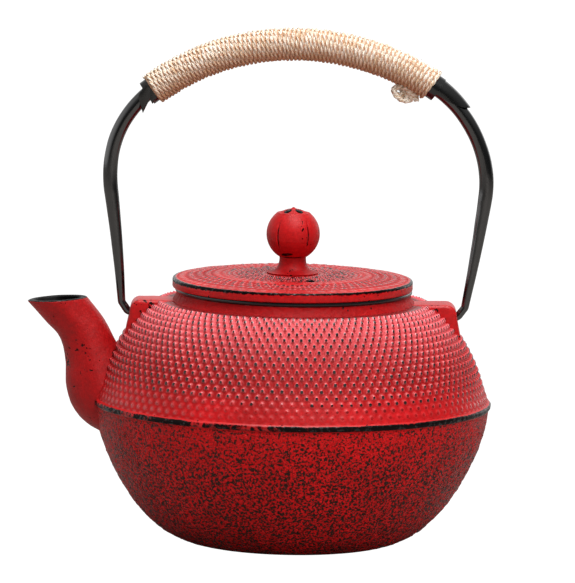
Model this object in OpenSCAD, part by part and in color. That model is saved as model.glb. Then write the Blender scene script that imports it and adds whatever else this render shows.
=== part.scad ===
// Cast iron teapot: hobnail pot with a cast spout, lift-off lid with an openwork
// knob, swinging bail with a bound grip, and a steel strainer basket.
// Millimetres, +Z up. The origin is the centre of the flat base. The spout points
// to -X, the bail swings about an axis along X, and the front of the pot is -Y.

/* [Pot] */
// Radius of the pot at its waist
waist_r = 85; // [84:0.1:86]
// Height of the waist above the base
waist_z = 61; // [60:0.5:62]
// Radius of the flat base
base_r = 38; // [36:0.5:42]
// Height of the shoulder where the collar starts
shoulder_z = 105; // [104.5:0.1:105.5]
// Thickness of the cast wall
wall = 3.2; // [2.8:0.1:3.6]
// Height of the raised band round the waist
band_h = 2.4; // [2:0.1:3]
// How far the band stands out from the pot
band_proud = 0.8; // [0.4:0.1:1.2]

/* [Collar] */
// Outer radius of the collar at its foot
collar_r = 51.6; // [51:0.1:52]
// Height of the collar's top, where the lid rests
collar_top_z = 110.4; // [110:0.1:110.8]
// Radius of the recess that takes the lid's skirt
recess_r = 46.8; // [46.6:0.1:47.2]
// Radius of the mouth below the strainer's ledge
mouth_r = 43.5; // [43:0.1:44]
// Height of the ledge that carries the strainer
ledge_z = 104.5; // [104:0.1:105]

/* [Lid] */
// Outer radius of the lid
lid_r = 51.8; // [51.4:0.1:52.2]
// Height of the lid's straight edge
lid_edge_h = 4; // [3.6:0.1:4.4]
// Rise of the lid from its edge to the knob
lid_rise = 2.4; // [2:0.1:2.6]
// Thickness of the lid's plate
lid_plate_t = 3.4; // [3:0.1:3.6]
// Diameter of the vent that lets air in while tea is poured
vent_d = 4; // [3.6:0.1:4.4]
// Distance of the vent from the middle of the lid
vent_at = 24.5; // [24:0.5:25]

/* [Knob] */
// Outer radius of the hollow ball
ball_r = 11.5; // [11.3:0.1:11.7]
// Height of the ball's centre
ball_z = 133.9; // [133.5:0.1:134.3]
// Radius of the hollow inside the ball
ball_bore_r = 9.3; // [9:0.1:9.5]
// Distance of the flower's openings from the middle of the ball
petal_r = 4.1; // [4:0.1:4.2]
// Length of one opening, outwards from the middle
petal_long = 4.4; // [4.2:0.1:4.6]
// Width of one opening
petal_wide = 2.9; // [2.6:0.1:3]
// Radius of the neck under the ball
neck_r = 5.7; // [5.5:0.1:6]
// Radius of the knob's round foot
foot_r = 11.1; // [10.8:0.1:11.4]

/* [Bail] */
// Height of the bail's swing axis
hinge_z = 99; // [98.8:0.1:99.2]
// Height of the bar's centre at the top of the bail
bail_top_z = 215.9; // [215:0.1:217]
// Largest distance of the bar's centre from the middle
bail_half_w = 80.95; // [80.8:0.05:81.2]
// Radius of the arc under the grip
grip_arc_r = 105.5; // [104:0.5:107]
// Half of the angle of the arc under the grip
grip_half_angle = 35; // [34.5:0.5:35.5]
// Inward lean of each leg towards its foot
leg_lean = 7.8; // [7.4:0.1:8.2]
// Diameter of the bar at the grip
bar_d = 6.2; // [6:0.1:6.4]
// Diameter of the bar at its hooked end
hook_d = 3.2; // [3:0.1:3.4]
// Radius of the two bends at the hooked end
hook_bend_r = 2; // [2:0.1:2.2]
// Slope of the short length between the two bends
hook_slope = 55; // [52:1:58]

/* [Grip] */
// Number of turns of twine on the grip
turns = 70; // [60:1:70]
// Diameter of one turn of twine
twine_d = 1.7; // [1.6:0.05:1.7]
// Half of the angle that the twine covers
twine_half_angle = 35.2; // [35.2:0.1:35.4]
// Outer diameter of the folded sleeve
sleeve_d = 11; // [10.8:0.1:11.2]
// Angle by which the sleeve runs on past the twine
sleeve_extra = 1.8; // [1:0.1:2]

/* [Spout] */
// Wall of the spout
spout_wall = 3; // [2.6:0.1:3.2]

/* [Lugs] */
// Height of the lugs' flat top
lug_top_z = 105; // [104.8:0.1:105.2]
// Distance of the lugs' outer face from the middle, level with the pin
lug_face_x = 70.2; // [70:0.1:70.4]
// Width of a lug from front to back
lug_w = 17; // [16:0.5:18]
// Radius of the socket for the bail's pin
socket_r = 1.8; // [1.75:0.05:1.9]

/* [Strainer] */
// Outer radius of the strainer's wall
strainer_r = 40.8; // [40.4:0.1:41]
// Depth of the strainer below its ledge
strainer_depth = 52; // [48:1:54]
// Thickness of the strainer's sheet
sheet_t = 0.8; // [0.7:0.05:0.9]

/* [Hidden] */
$fn = 96;

iron_red = [0.68, 0.12, 0.15];
rubbed_black = [0.12, 0.12, 0.12];
steel = [0.72, 0.73, 0.75];
twine_tan = [0.82, 0.74, 0.58];

collar_rim_r = 50.6;
bead_h = 1.8;
bead_proud = 0.5;
lid_z = collar_top_z;
lid_top_z = lid_z + lid_edge_h + lid_rise;
skirt_r = recess_r - 0.6;
skirt_t = 3;
skirt_drop = 4.6;

// ---------- curves and lofts ----------

// Point at t on a cubic curve with four control points.
function bezier(p, t) =
    pow(1 - t, 3) * p[0] + 3 * pow(1 - t, 2) * t * p[1]
    + 3 * (1 - t) * t * t * p[2] + pow(t, 3) * p[3];

// Evenly stepped points on a cubic curve, with the last one left out.
function curve(p, steps) = [for (i = [0 : steps - 1]) bezier(p, i / steps)];

// Point at t (0 to 1) on the smooth curve that passes through every point of p.
function through(p, t) =
    let (n = len(p) - 1, k = min(floor(t * n), n - 1), u = t * n - k,
         a = p[max(k - 1, 0)], b = p[k], c = p[k + 1], d = p[min(k + 2, n)])
    0.5 * (2 * b + (c - a) * u + (2 * a - 5 * b + 4 * c - d) * u * u
           + (3 * b - a - 3 * c + d) * pow(u, 3));

// Moves each point of an outline to the left of its direction of travel.
function inset(p, d) = [for (i = [0 : len(p) - 1])
    let (v = p[min(i + 1, len(p) - 1)] - p[max(i - 1, 0)])
    p[i] + d * [-v.y, v.x] / norm(v)];

// Closed skin through rings that have the same number of points each.
module skin(rings) {
    n = len(rings[0]);
    m = len(rings);
    sides = [for (k = [0 : m - 2], i = [0 : n - 1])
        [k * n + i, k * n + (i + 1) % n, (k + 1) * n + (i + 1) % n, (k + 1) * n + i]];
    caps = [[for (i = [n - 1 : -1 : 0]) i], [for (i = [0 : n - 1]) (m - 1) * n + i]];
    polyhedron([for (r = rings) each r], concat(sides, caps));
}

// ---------- pot ----------

belly = [[base_r, 0], [base_r + 28.7, 0.8], [waist_r, waist_z - 16.6], [waist_r, waist_z]];
shoulder = [[waist_r, waist_z], [waist_r, waist_z + 1.6], [collar_r + 18.6, shoulder_z + 2.6],
            [collar_r, shoulder_z]];
pot_outline = concat(curve(belly, 16), curve(shoulder, 16), [[collar_r, shoulder_z]]);
// The cavity follows the same two curves, one wall further in.
cavity_outline = inset(pot_outline, wall);

module pot_shell() {
    rotate_extrude()
        polygon(concat([[0, 0]], pot_outline,
            [[collar_rim_r, collar_top_z - bead_h - 0.3]],
            [for (a = [-75 : 30 : 75]) [collar_rim_r + bead_proud * cos(a),
                collar_top_z - bead_h / 2 * (1 - sin(a))]],
            [[collar_rim_r - 0.2, collar_top_z], [0, collar_top_z]]));
}

module waist_band() {
    top_r = waist_r + band_proud;
    translate([0, 0, waist_z - band_h / 2]) rotate_extrude()
        polygon([[waist_r - wall / 2, -0.6], [waist_r - 0.3, -0.6], [top_r - 0.2, 0.2], [top_r, band_h / 2],
                 [top_r - 0.2, band_h - 0.2], [waist_r - 0.3, band_h + 0.6],
                 [waist_r - wall / 2, band_h + 0.6]]);
}

module cavity() {
    floor_z = wall + 0.6;
    inner = [for (p = cavity_outline) if (p.y > floor_z && p.x > mouth_r && p.y < ledge_z - 2.4) p];
    roof_z = inner[len(inner) - 1].y;
    rotate_extrude()
        polygon(concat([[0, floor_z], [base_r, floor_z]], inner,
            [[mouth_r, roof_z], [mouth_r, ledge_z], [recess_r, ledge_z],
             [recess_r, collar_top_z + 1], [0, collar_top_z + 1]]));
}

// Outer and inner edge of the spout in the X-Z plane, from the mouth to the root.
spout_under = [[-114.4, 102.7], [-107, 94.4], [-100.4, 87], [-97.9, 77.5], [-97.4, 66.5], [-94, 56.5],
               [-86, 48.8], [-72, 43]];
spout_over = [[-88.8, 104.7], [-84.6, 99.6], [-80.9, 94.6], [-77.2, 87.5], [-73, 80], [-70, 73],
              [-68, 66], [-66, 60]];
// Half of the spout's width from front to back at the same stations.
spout_half_w = [10.6, 9.9, 10, 11.2, 13, 15, 17, 18];

spout_stations = 21;
spout_sides = 20;

// One oval section between the spout's two edges, drawn in by a wall.
function spout_ring(t, inner) =
    let (a = through(spout_under, t), b = through(spout_over, t), mid = (a + b) / 2,
         half = (b - a) / 2, half_w = through(spout_half_w, t), k = norm(half),
         in_x = (k - inner) / k, in_y = half_w - inner)
    [for (i = [0 : spout_sides - 1]) let (w = 360 * i / spout_sides)
        [mid.x + half.x * in_x * cos(w), in_y * sin(w), mid.y + half.y * in_x * cos(w)]];

module spout_outside() {
    skin([for (s = [0 : spout_stations]) spout_ring(s / spout_stations, 0)]);
}

module spout_channel() {
    rings = [for (s = [0 : spout_stations]) spout_ring(s / spout_stations, spout_wall)];
    above = [for (p = rings[0]) p + [-1.2, 0, 1.6]];
    skin(concat([above], rings));
}

// Wedge on the shoulder with a flat top, a rounded corner and a steep outer face.
module lug() {
    corner_r = 4.4;
    foot = [lug_face_x + 3.1, 86];
    corner = [for (a = [90 : -15 : 15])
        [lug_face_x - corner_r, lug_top_z - corner_r] + corner_r * [cos(a), sin(a)]];
    rotate([90, 0, 0]) linear_extrude(lug_w, center = true)
        polygon(concat([[collar_r - 2, 100], [collar_r - 2, lug_top_z - 0.3]], corner,
            [[lug_face_x + 0.2, hinge_z + 0.6], foot, [foot.x - 14, foot.y]]));
}

// Blind hole for the pin, opened out at the face for the bend that follows it.
module lug_socket() {
    translate([lug_face_x - 6.6, 0, hinge_z]) rotate([0, 90, 0]) {
        cylinder(h = 12, r = socket_r);
        translate([0, 0, 5.4]) cylinder(h = 3.6, r1 = socket_r - 0.2, r2 = socket_r + 3);
    }
}

module pot_body() {
    color(iron_red) difference() {
        union() {
            pot_shell();
            waist_band();
            for (side = [0, 180]) rotate(side) lug();
        }
        cavity();
        spout_channel();
        for (side = [0, 180]) rotate(side) lug_socket();
    }
}

// The spout ends on the outer face of the pot, with its channel open through the wall.
module spout() {
    color(iron_red) difference() {
        spout_outside();
        pot_shell();
        waist_band();
        spout_channel();
    }
}

// ---------- lid and knob ----------

screw_d = 4;
washer_r = 5.2;
washer_t = 1;

module lid_casting() {
    edge_z = lid_z + lid_edge_h;
    under_z = lid_top_z - lid_plate_t;
    rotate_extrude() polygon([
        [screw_d / 2 + 0.2, under_z], [washer_r + 0.8, under_z], [skirt_r - skirt_t, under_z - 0.8],
        [skirt_r - skirt_t, lid_z - skirt_drop], [skirt_r - 0.6, lid_z - skirt_drop],
        [skirt_r, lid_z - skirt_drop + 0.8], [skirt_r, lid_z], [lid_r - 0.5, lid_z],
        [lid_r, lid_z + 0.5], [lid_r, edge_z - 0.6], [lid_r - 0.7, edge_z],
        [45.2, edge_z + 0.7], [44.8, edge_z + 0.9], [35.6, edge_z + 1.4], [34.6, edge_z + 1.9],
        [27.4, edge_z + 2.1], [26.6, edge_z + 1.9], [13, lid_top_z], [screw_d / 2 + 0.2, lid_top_z]]);
}

// The casting with its vent, at the front towards the side away from the spout.
module lid() {
    vent_turn = -72;
    color(iron_red) difference() {
        lid_casting();
        rotate(vent_turn) translate([vent_at, 0, lid_z])
            cylinder(h = lid_edge_h + lid_rise + 1, d = vent_d, $fn = 32);
    }
}

lobes = 5;
foot_h = 0.5;

// Crease down the ball below one of the openings: part of a ring round its centre.
module crease(a) {
    crease_r = 0.9;
    crease_depth = 0.45;
    translate([0, 0, ball_z]) rotate([90, 0, a]) rotate([0, 0, -42]) rotate_extrude(angle = 80)
        translate([ball_r + crease_r - crease_depth, 0]) circle(crease_r, $fn = 32);
}

// One of the five oval openings that make the flower on top.
module petal_opening(a) {
    translate([0, 0, ball_z]) rotate(a) linear_extrude(ball_r + 4)
        polygon([for (w = [0 : 15 : 345])
            [petal_r + petal_long / 2 * cos(w), petal_wide / 2 * sin(w)]]);
}

// What is cut from the top of the ball, down to a low dome with a small peak.
module above_flower() {
    translate([0, 0, ball_z]) rotate_extrude() polygon([
        [0, ball_r - 0.1], [0.8, ball_r - 0.5], [1.8, ball_r - 0.8], [4, ball_r - 1.3],
        [5.9, ball_r - 2.1], [6.6, ball_r - 1.9], [9, ball_r + 4], [0, ball_r + 4]]);
}

module knob() {
    neck_z = ball_z - ball_r + 0.6;
    foot_z = lid_top_z + foot_h;
    // The neck is one curve that runs out into the flat foot.
    neck = curve([[foot_r, foot_z], [neck_r + 1.2, foot_z + 0.5], [neck_r, foot_z + 2.2],
                  [neck_r, neck_z]], 9);
    color(iron_red) difference() {
        union() {
            difference() {
                translate([0, 0, ball_z]) sphere(ball_r);
                for (i = [0 : lobes - 1]) crease(90 + 360 / lobes * i);
                above_flower();
            }
            rotate_extrude() polygon(concat(
                [[0, lid_top_z], [foot_r, lid_top_z]], neck,
                [[neck_r, neck_z + 1.6], [0, neck_z + 1.6]]));
        }
        translate([0, 0, ball_z]) sphere(ball_bore_r);
        for (i = [0 : lobes - 1]) petal_opening(90 + 360 / lobes * i);
        translate([0, 0, lid_top_z - 1]) cylinder(h = 6.5, d = screw_d);
    }
}

module knob_washer() {
    color(steel) translate([0, 0, lid_top_z - lid_plate_t - washer_t]) difference() {
        cylinder(h = washer_t, r = washer_r);
        translate([0, 0, -1]) cylinder(h = washer_t + 2, d = screw_d + 0.4);
    }
}

module knob_screw() {
    head_h = 2.2;
    head_z = lid_top_z - lid_plate_t - washer_t - head_h;
    color(steel) difference() {
        union() {
            translate([0, 0, head_z]) cylinder(h = head_h, r1 = 3.3, r2 = 3.9);
            translate([0, 0, head_z]) cylinder(h = head_h + washer_t + lid_plate_t + 5, d = screw_d);
        }
        translate([-5, -0.5, head_z - 1]) cube([10, 1, 1.9]);
    }
}

// ---------- bail ----------

shoulder_arc_r = (bail_half_w - grip_arc_r * sin(grip_half_angle)) / (1 - sin(grip_half_angle));
grip_centre = [0, bail_top_z - grip_arc_r];
arc_centre = grip_centre
    + (grip_arc_r - shoulder_arc_r) * [sin(grip_half_angle), cos(grip_half_angle)];
leg_top = arc_centre + shoulder_arc_r * [cos(leg_lean), -sin(leg_lean)];
// The hooked end goes from the pin through a bend, a short slope and a second bend
// into the leg, whose foot follows from the slope.
pin_end = [lug_face_x - 0.2, hinge_z];
low_bend = pin_end + [0, hook_bend_r];
low_bend_end = low_bend + hook_bend_r * [sin(hook_slope), -cos(hook_slope)];
bend_offset = hook_bend_r * ([sin(hook_slope), -cos(hook_slope)] - [cos(leg_lean), -sin(leg_lean)]);
span = leg_top + bend_offset - low_bend_end;
leg_drop = (span.x * sin(hook_slope) - span.y * cos(hook_slope))
    / (tan(leg_lean) * sin(hook_slope) - cos(hook_slope));
leg_foot = leg_top - leg_drop * [tan(leg_lean), 1];
high_bend = leg_foot - hook_bend_r * [cos(leg_lean), -sin(leg_lean)];
pin_d = hook_d - 0.2;
pin_in = 5;
bar_sides = 16;

// Stations of the bar on an arc in the X-Z plane, each with its point, the heading
// of the bar there and its diameter, from one angle above +X to another.
function arc_stations(centre, r, from, to, steps, d) = [for (i = [0 : steps])
    let (w = from + (to - from) * i / steps) [centre + r * [cos(w), sin(w)], w + 90, d]];

// Right-hand side: two bends, tapered leg and shoulder, up to the grip.
side_stations = concat(
    arc_stations(low_bend, hook_bend_r, -90, hook_slope - 90, 4, hook_d),
    arc_stations(high_bend, hook_bend_r, hook_slope - 90, -leg_lean, 2, hook_d),
    arc_stations(arc_centre, shoulder_arc_r, -leg_lean, 90 - grip_half_angle, 12, bar_d));
other_side = [for (i = [len(side_stations) - 1 : -1 : 0]) let (s = side_stations[i])
    [[-s[0].x, s[0].y], -s[1], s[2]]];
grip_stations = arc_stations(grip_centre, grip_arc_r, 90 - grip_half_angle, 90 + grip_half_angle, 20, bar_d);
inner_grip = [for (i = [1 : len(grip_stations) - 2]) grip_stations[i]];

// Round section of the bar, square to its heading.
function bar_ring(s) = [for (i = [0 : bar_sides - 1]) let (w = 360 * i / bar_sides, r = s[2] / 2)
    [s[0].x - r * cos(w) * sin(s[1]), r * sin(w), s[0].y + r * cos(w) * cos(s[1])]];

module bail() {
    color(rubbed_black) {
        skin([for (s = concat(side_stations, inner_grip, other_side)) bar_ring(s)]);
        for (side = [0, 180]) rotate(side) translate([pin_end.x - pin_in, 0, hinge_z])
            rotate([0, 90, 0]) cylinder(h = pin_in + 0.3, d = pin_d, $fn = 48);
    }
}

// Layers of sheet steel folded round the bar, with their open seam underneath.
module grip_sleeve() {
    seam = 1.6;
    reach = twine_half_angle + sleeve_extra;
    color(rubbed_black) translate([0, 0, grip_centre.y]) rotate([90, 0, 0])
        rotate([0, 0, 90 - reach]) rotate_extrude(angle = 2 * reach) translate([grip_arc_r, 0])
            difference() {
                circle(d = sleeve_d, $fn = 48);
                circle(d = bar_d + 0.4, $fn = 48);
                translate([-sleeve_d, -seam / 2]) square([sleeve_d, seam]);
            }
}

// Twine wound close round the sleeve, one ring for each turn.
module grip_binding() {
    pitch = 2 * twine_half_angle / turns;
    color(twine_tan) for (i = [0 : turns - 1])
        translate([0, 0, grip_centre.y]) rotate([0, (i + 0.5) * pitch - twine_half_angle, 0])
            translate([0, 0, grip_arc_r]) rotate([0, 90, 0]) rotate_extrude($fn = 48)
                translate([(sleeve_d + twine_d) / 2, 0]) circle(d = twine_d, $fn = 24);
}

// Ends of the twine brought together in a flat loop under the grip.
module binding_loop() {
    loop_angle = 27.8;
    end_r = 2.5;
    straight = 3.4;
    cord_d = 2.3;
    drop = sleeve_d / 2 + twine_d + cord_d / 2 + end_r;
    color(twine_tan) translate([0, 0, grip_centre.y]) rotate([0, loop_angle, 0])
        translate([0, 0, grip_arc_r - drop]) rotate([90, 0, 0]) for (side = [0, 180]) rotate(side) {
            translate([straight / 2, 0, 0]) rotate(-90) rotate_extrude(angle = 180)
                translate([end_r, 0]) circle(d = cord_d, $fn = 24);
            translate([-straight / 2, end_r, 0]) rotate([0, 90, 0])
                cylinder(h = straight, d = cord_d, $fn = 24);
        }
}

// ---------- strainer ----------

base_z = ledge_z - strainer_depth;

// Flat steel ring that hangs on the ledge inside the collar.
module infuser_rim() {
    color(steel) translate([0, 0, ledge_z]) difference() {
        cylinder(h = sheet_t, r = recess_r - 0.5);
        translate([0, 0, -1]) cylinder(h = sheet_t + 2, r = strainer_r - sheet_t);
    }
}

// Perforated side of the basket.
module infuser_wall() {
    rows = 6;
    holes = 18;
    hole_r = 1.5;
    color(steel) difference() {
        translate([0, 0, base_z + sheet_t]) cylinder(h = strainer_depth - sheet_t, r = strainer_r);
        translate([0, 0, base_z]) cylinder(h = strainer_depth + 1, r = strainer_r - sheet_t);
        for (k = [0 : rows - 1], i = [0 : holes - 1])
            rotate([0, 0, 360 / holes * (i + (k % 2) / 2)]) translate([strainer_r - 3, 0, base_z + 7 + 7 * k])
                rotate([0, 90, 0]) cylinder(h = 6, r = hole_r, $fn = 16);
    }
}

// Perforated floor of the basket.
module infuser_base() {
    hole_r = 1.5;
    step = 7;
    color(steel) difference() {
        translate([0, 0, base_z]) cylinder(h = sheet_t, r = strainer_r);
        for (k = [1 : 4]) for (i = [0 : 6 * k - 1])
            rotate([0, 0, 60 * i / k]) translate([step * k, 0, base_z - 1])
                cylinder(h = sheet_t + 2, r = hole_r, $fn = 16);
    }
}

pot_body();
spout();
lid();
knob();
knob_washer();
knob_screw();
bail();
grip_sleeve();
grip_binding();
binding_loop();
infuser_rim();
infuser_wall();
infuser_base();
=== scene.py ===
"""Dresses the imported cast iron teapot: enamelled hobnail pot, lid, knob, bail, twine grip, strainer.

Every length is in metres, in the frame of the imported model: +Z up, the spout towards -X and the
front of the pot towards -Y. Each sub-assembly is a class that builds its own meshes as surfaces
worked out with numpy, and each finish is a small class that builds one material.
"""

from __future__ import annotations

import logging
import math
from dataclasses import dataclass, field
from enum import Enum
from functools import reduce
from typing import Any, Callable, Sequence

import bmesh
import bpy
import numpy as np
from mathutils import Matrix, Vector

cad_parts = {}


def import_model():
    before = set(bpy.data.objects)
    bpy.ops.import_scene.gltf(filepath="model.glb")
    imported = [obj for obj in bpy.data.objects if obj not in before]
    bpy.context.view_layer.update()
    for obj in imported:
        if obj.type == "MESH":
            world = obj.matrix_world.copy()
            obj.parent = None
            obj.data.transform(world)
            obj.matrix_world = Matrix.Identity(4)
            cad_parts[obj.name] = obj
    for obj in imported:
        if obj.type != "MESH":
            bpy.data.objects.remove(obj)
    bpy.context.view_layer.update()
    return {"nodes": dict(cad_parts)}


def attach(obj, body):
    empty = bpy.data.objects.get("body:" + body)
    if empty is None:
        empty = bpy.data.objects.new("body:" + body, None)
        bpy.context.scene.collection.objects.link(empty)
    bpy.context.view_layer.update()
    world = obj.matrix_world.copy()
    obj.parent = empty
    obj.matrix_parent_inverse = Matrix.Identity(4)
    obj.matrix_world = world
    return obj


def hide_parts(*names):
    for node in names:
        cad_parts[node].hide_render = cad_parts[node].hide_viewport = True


LOG = logging.getLogger("teapot")
MM = 0.001
TAU = 2.0 * math.pi
Array = np.ndarray
Colour = tuple[float, float, float, float]
Piece = bpy.types.Object
SIDEWAYS = np.array([0.0, 1.0, 0.0])
NO_ROW = -50.0


# ------------------------------ numbers


def smooth(low: float, high: float, x: Array) -> Array:
    """Rises from 0 at low to 1 at high along 3t^2 - 2t^3.

    Args:
        low: Value of x below which the result is 0.
        high: Value of x above which the result is 1.
        x: Numbers to map.

    Returns:
        The mapped numbers, in x's shape.
    """
    t = np.clip((x - low) / (high - low), 0.0, 1.0)
    return t * t * (3.0 - 2.0 * t)


def hashed(cells: Array, seed: int) -> Array:
    """Gives each whole-number cell a steady random number from 0 to 1 by mixing its bits.

    Args:
        cells: Whole numbers, the last axis holding a cell's coordinates.
        seed: Changes the whole pattern.

    Returns:
        One number per cell.
    """
    keys = (374761393, 668265263, 2246822519, 3266489917)
    mixed = np.full(cells.shape[:-1], np.uint64(seed * 2654435761 + 97))
    for axis in range(cells.shape[-1]):
        number = (cells[..., axis].astype(np.int64) + 100000).astype(np.uint64)
        mixed = (mixed ^ number) * np.uint64(keys[axis])
        mixed = (mixed ^ (mixed >> np.uint64(13))) & np.uint64(0xFFFFFFFF)
    mixed = (mixed * np.uint64(1274126177)) & np.uint64(0xFFFFFFFF)
    mixed = mixed ^ (mixed >> np.uint64(16))
    return mixed.astype(np.float64) / float(0xFFFFFFFF)


def noise(points: Array, size: float, seed: int) -> Array:
    """Value noise: random numbers on a cubic lattice, blended smoothly between its corners.

    Args:
        points: Places, with three coordinates on the last axis.
        size: Lattice spacing in metres.
        seed: Changes the whole pattern.

    Returns:
        Numbers from -1 to 1, one per place.
    """
    scaled = points / size
    base = np.floor(scaled)
    part = scaled - base
    part = part * part * (3.0 - 2.0 * part)
    total = np.zeros(points.shape[:-1])
    for corner in np.ndindex(2, 2, 2):
        offset = np.array(corner)
        weight = np.prod(np.where(offset == 1, part, 1.0 - part), axis=-1)
        total += weight * hashed(base + offset, seed)
    return 2.0 * total - 1.0


def lumps(points: Array, layers: Sequence[tuple[float, float]], seed: int) -> Array:
    """Uneven cast surface: a few layers of noise of different width and height, added up.

    Args:
        points: Places, with three coordinates on the last axis.
        layers: Width and height of the lumps of each layer.
        seed: Seed of the first layer; each further layer takes the next one.

    Returns:
        Height of the surface at each place.
    """
    return sum(height * noise(points, width, seed + k) for k, (width, height) in enumerate(layers))


def bezier(control: Sequence[Sequence[float]], t: Array) -> Array:
    """Cubic curve: the four control points weighted by the Bernstein polynomials of t.

    Args:
        control: Four points.
        t: Positions along the curve, 0 to 1.

    Returns:
        One point per position.
    """
    p = np.asarray(control, float)
    t = np.asarray(t, float)[..., None]
    return (1 - t) ** 3 * p[0] + 3 * (1 - t) ** 2 * t * p[1] + 3 * (1 - t) * t**2 * p[2] + t**3 * p[3]


def through(points: Sequence[Any], t: Array) -> Array:
    """Smooth curve that passes through every given point, by the Catmull-Rom rule.

    Args:
        points: Points or plain numbers, spaced evenly in t.
        t: Positions along the curve, 0 to 1.

    Returns:
        One point, or number, per position.
    """
    p = np.asarray(points, float)
    last = len(p) - 1
    k = np.minimum(np.floor(np.asarray(t) * last).astype(int), last - 1)
    u = np.asarray(t) * last - k
    if p.ndim > 1:
        u = u[..., None]
    a, b, c, d = p[np.maximum(k - 1, 0)], p[k], p[k + 1], p[np.minimum(k + 2, last)]
    return 0.5 * (2 * b + (c - a) * u + (2 * a - 5 * b + 4 * c - d) * u**2 + (3 * b - a - 3 * c + d) * u**3)


def resample(line: Array, count: int) -> Array:
    """Spaces points evenly along a broken line by walking its length.

    Args:
        line: Points of the line.
        count: How many points to return.

    Returns:
        The evenly spaced points.
    """
    steps = np.linalg.norm(np.diff(line, axis=0), axis=1)
    walked = np.concatenate([[0.0], np.cumsum(steps)])
    wanted = np.linspace(0.0, walked[-1], count)
    return np.stack([np.interp(wanted, walked, line[:, k]) for k in range(line.shape[1])], axis=1)


def outline_normals(outline: Array) -> Array:
    """Unit normals of an open outline, to the right of its direction of travel.

    Args:
        outline: Points of the outline.

    Returns:
        A unit vector per point.
    """
    tangent = np.gradient(outline, axis=0)
    tangent /= np.linalg.norm(tangent, axis=1, keepdims=True)
    return np.stack([tangent[:, 1], -tangent[:, 0]], axis=1)


def revolve(outline: Array, columns: int) -> Array:
    """Turns an outline of radius and height about Z: x = r cos a, y = r sin a.

    Args:
        outline: Radius and height of each row.
        columns: Number of steps round the axis.

    Returns:
        Points as rows x columns x 3.
    """
    angle = np.arange(columns) * TAU / columns
    radius, height = outline[:, 0][:, None], outline[:, 1][:, None]
    return np.stack([radius * np.cos(angle), radius * np.sin(angle), height + 0.0 * angle], axis=-1)


def sweep(path: Array, across: Array, radii: Array, sides: int) -> Array:
    """Carries a round section along a path: centre + r cos(w) across + r sin(w) (tangent x across).

    Args:
        path: Points of the centre line.
        across: A direction near square to the path at each point.
        radii: Radius at each point.
        sides: Number of steps round the section.

    Returns:
        Points as rows x sides x 3.
    """
    tangent = np.gradient(path, axis=0)
    tangent /= np.linalg.norm(tangent, axis=1, keepdims=True)
    first = across - np.sum(across * tangent, axis=1, keepdims=True) * tangent
    first /= np.linalg.norm(first, axis=1, keepdims=True)
    second = np.cross(tangent, first)
    w = (np.arange(sides) * TAU / sides)[None, :, None]
    r = np.asarray(radii, float)[:, None, None]
    return path[:, None] + r * (np.cos(w) * first[:, None] + np.sin(w) * second[:, None])


def capped(grid: Array, ends: Array | None = None) -> Array:
    """Closes both ends of a grid with a row of points that all lie in one place.

    Args:
        grid: Points as rows x columns x 3.
        ends: The two places; the middles of the end rows where none are given.

    Returns:
        The grid with one more row at each end.
    """
    middles = grid[[0, -1]].mean(axis=1) if ends is None else ends
    caps = np.repeat(middles[:, None], grid.shape[1], axis=1)
    return np.concatenate([caps[:1], grid, caps[1:]])


# ------------------------------ meshes


@dataclass
class Patch:
    """A grid of points, closed round its columns, with optional layers of one number per point."""

    points: Array
    uv: Array | None = None
    layers: dict[str, Array] = field(default_factory=dict)
    slot: Array | int = 0


def ring_quads(rows: int, columns: int) -> Array:
    """Corner numbers of the quads of a grid that is closed round its columns, one row of four per quad.

    Args:
        rows: Rows of the grid.
        columns: Columns of the grid.

    Returns:
        Four corner numbers per quad.
    """
    c = np.arange(columns)
    r = np.arange(rows - 1)[:, None]
    low, high, after = r * columns, (r + 1) * columns, (c + 1) % columns
    return np.stack([low + c, low + after, high + after, high + c], -1).reshape(-1, 4)


def placed(name: str, data: Any) -> Piece:
    """Makes an object of the given data, at the origin, and links it to the scene.

    Args:
        name: Name of the object.
        data: Its mesh, light or camera.

    Returns:
        The object.
    """
    made = bpy.data.objects.new(name, data)
    bpy.context.scene.collection.objects.link(made)
    return made


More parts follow.
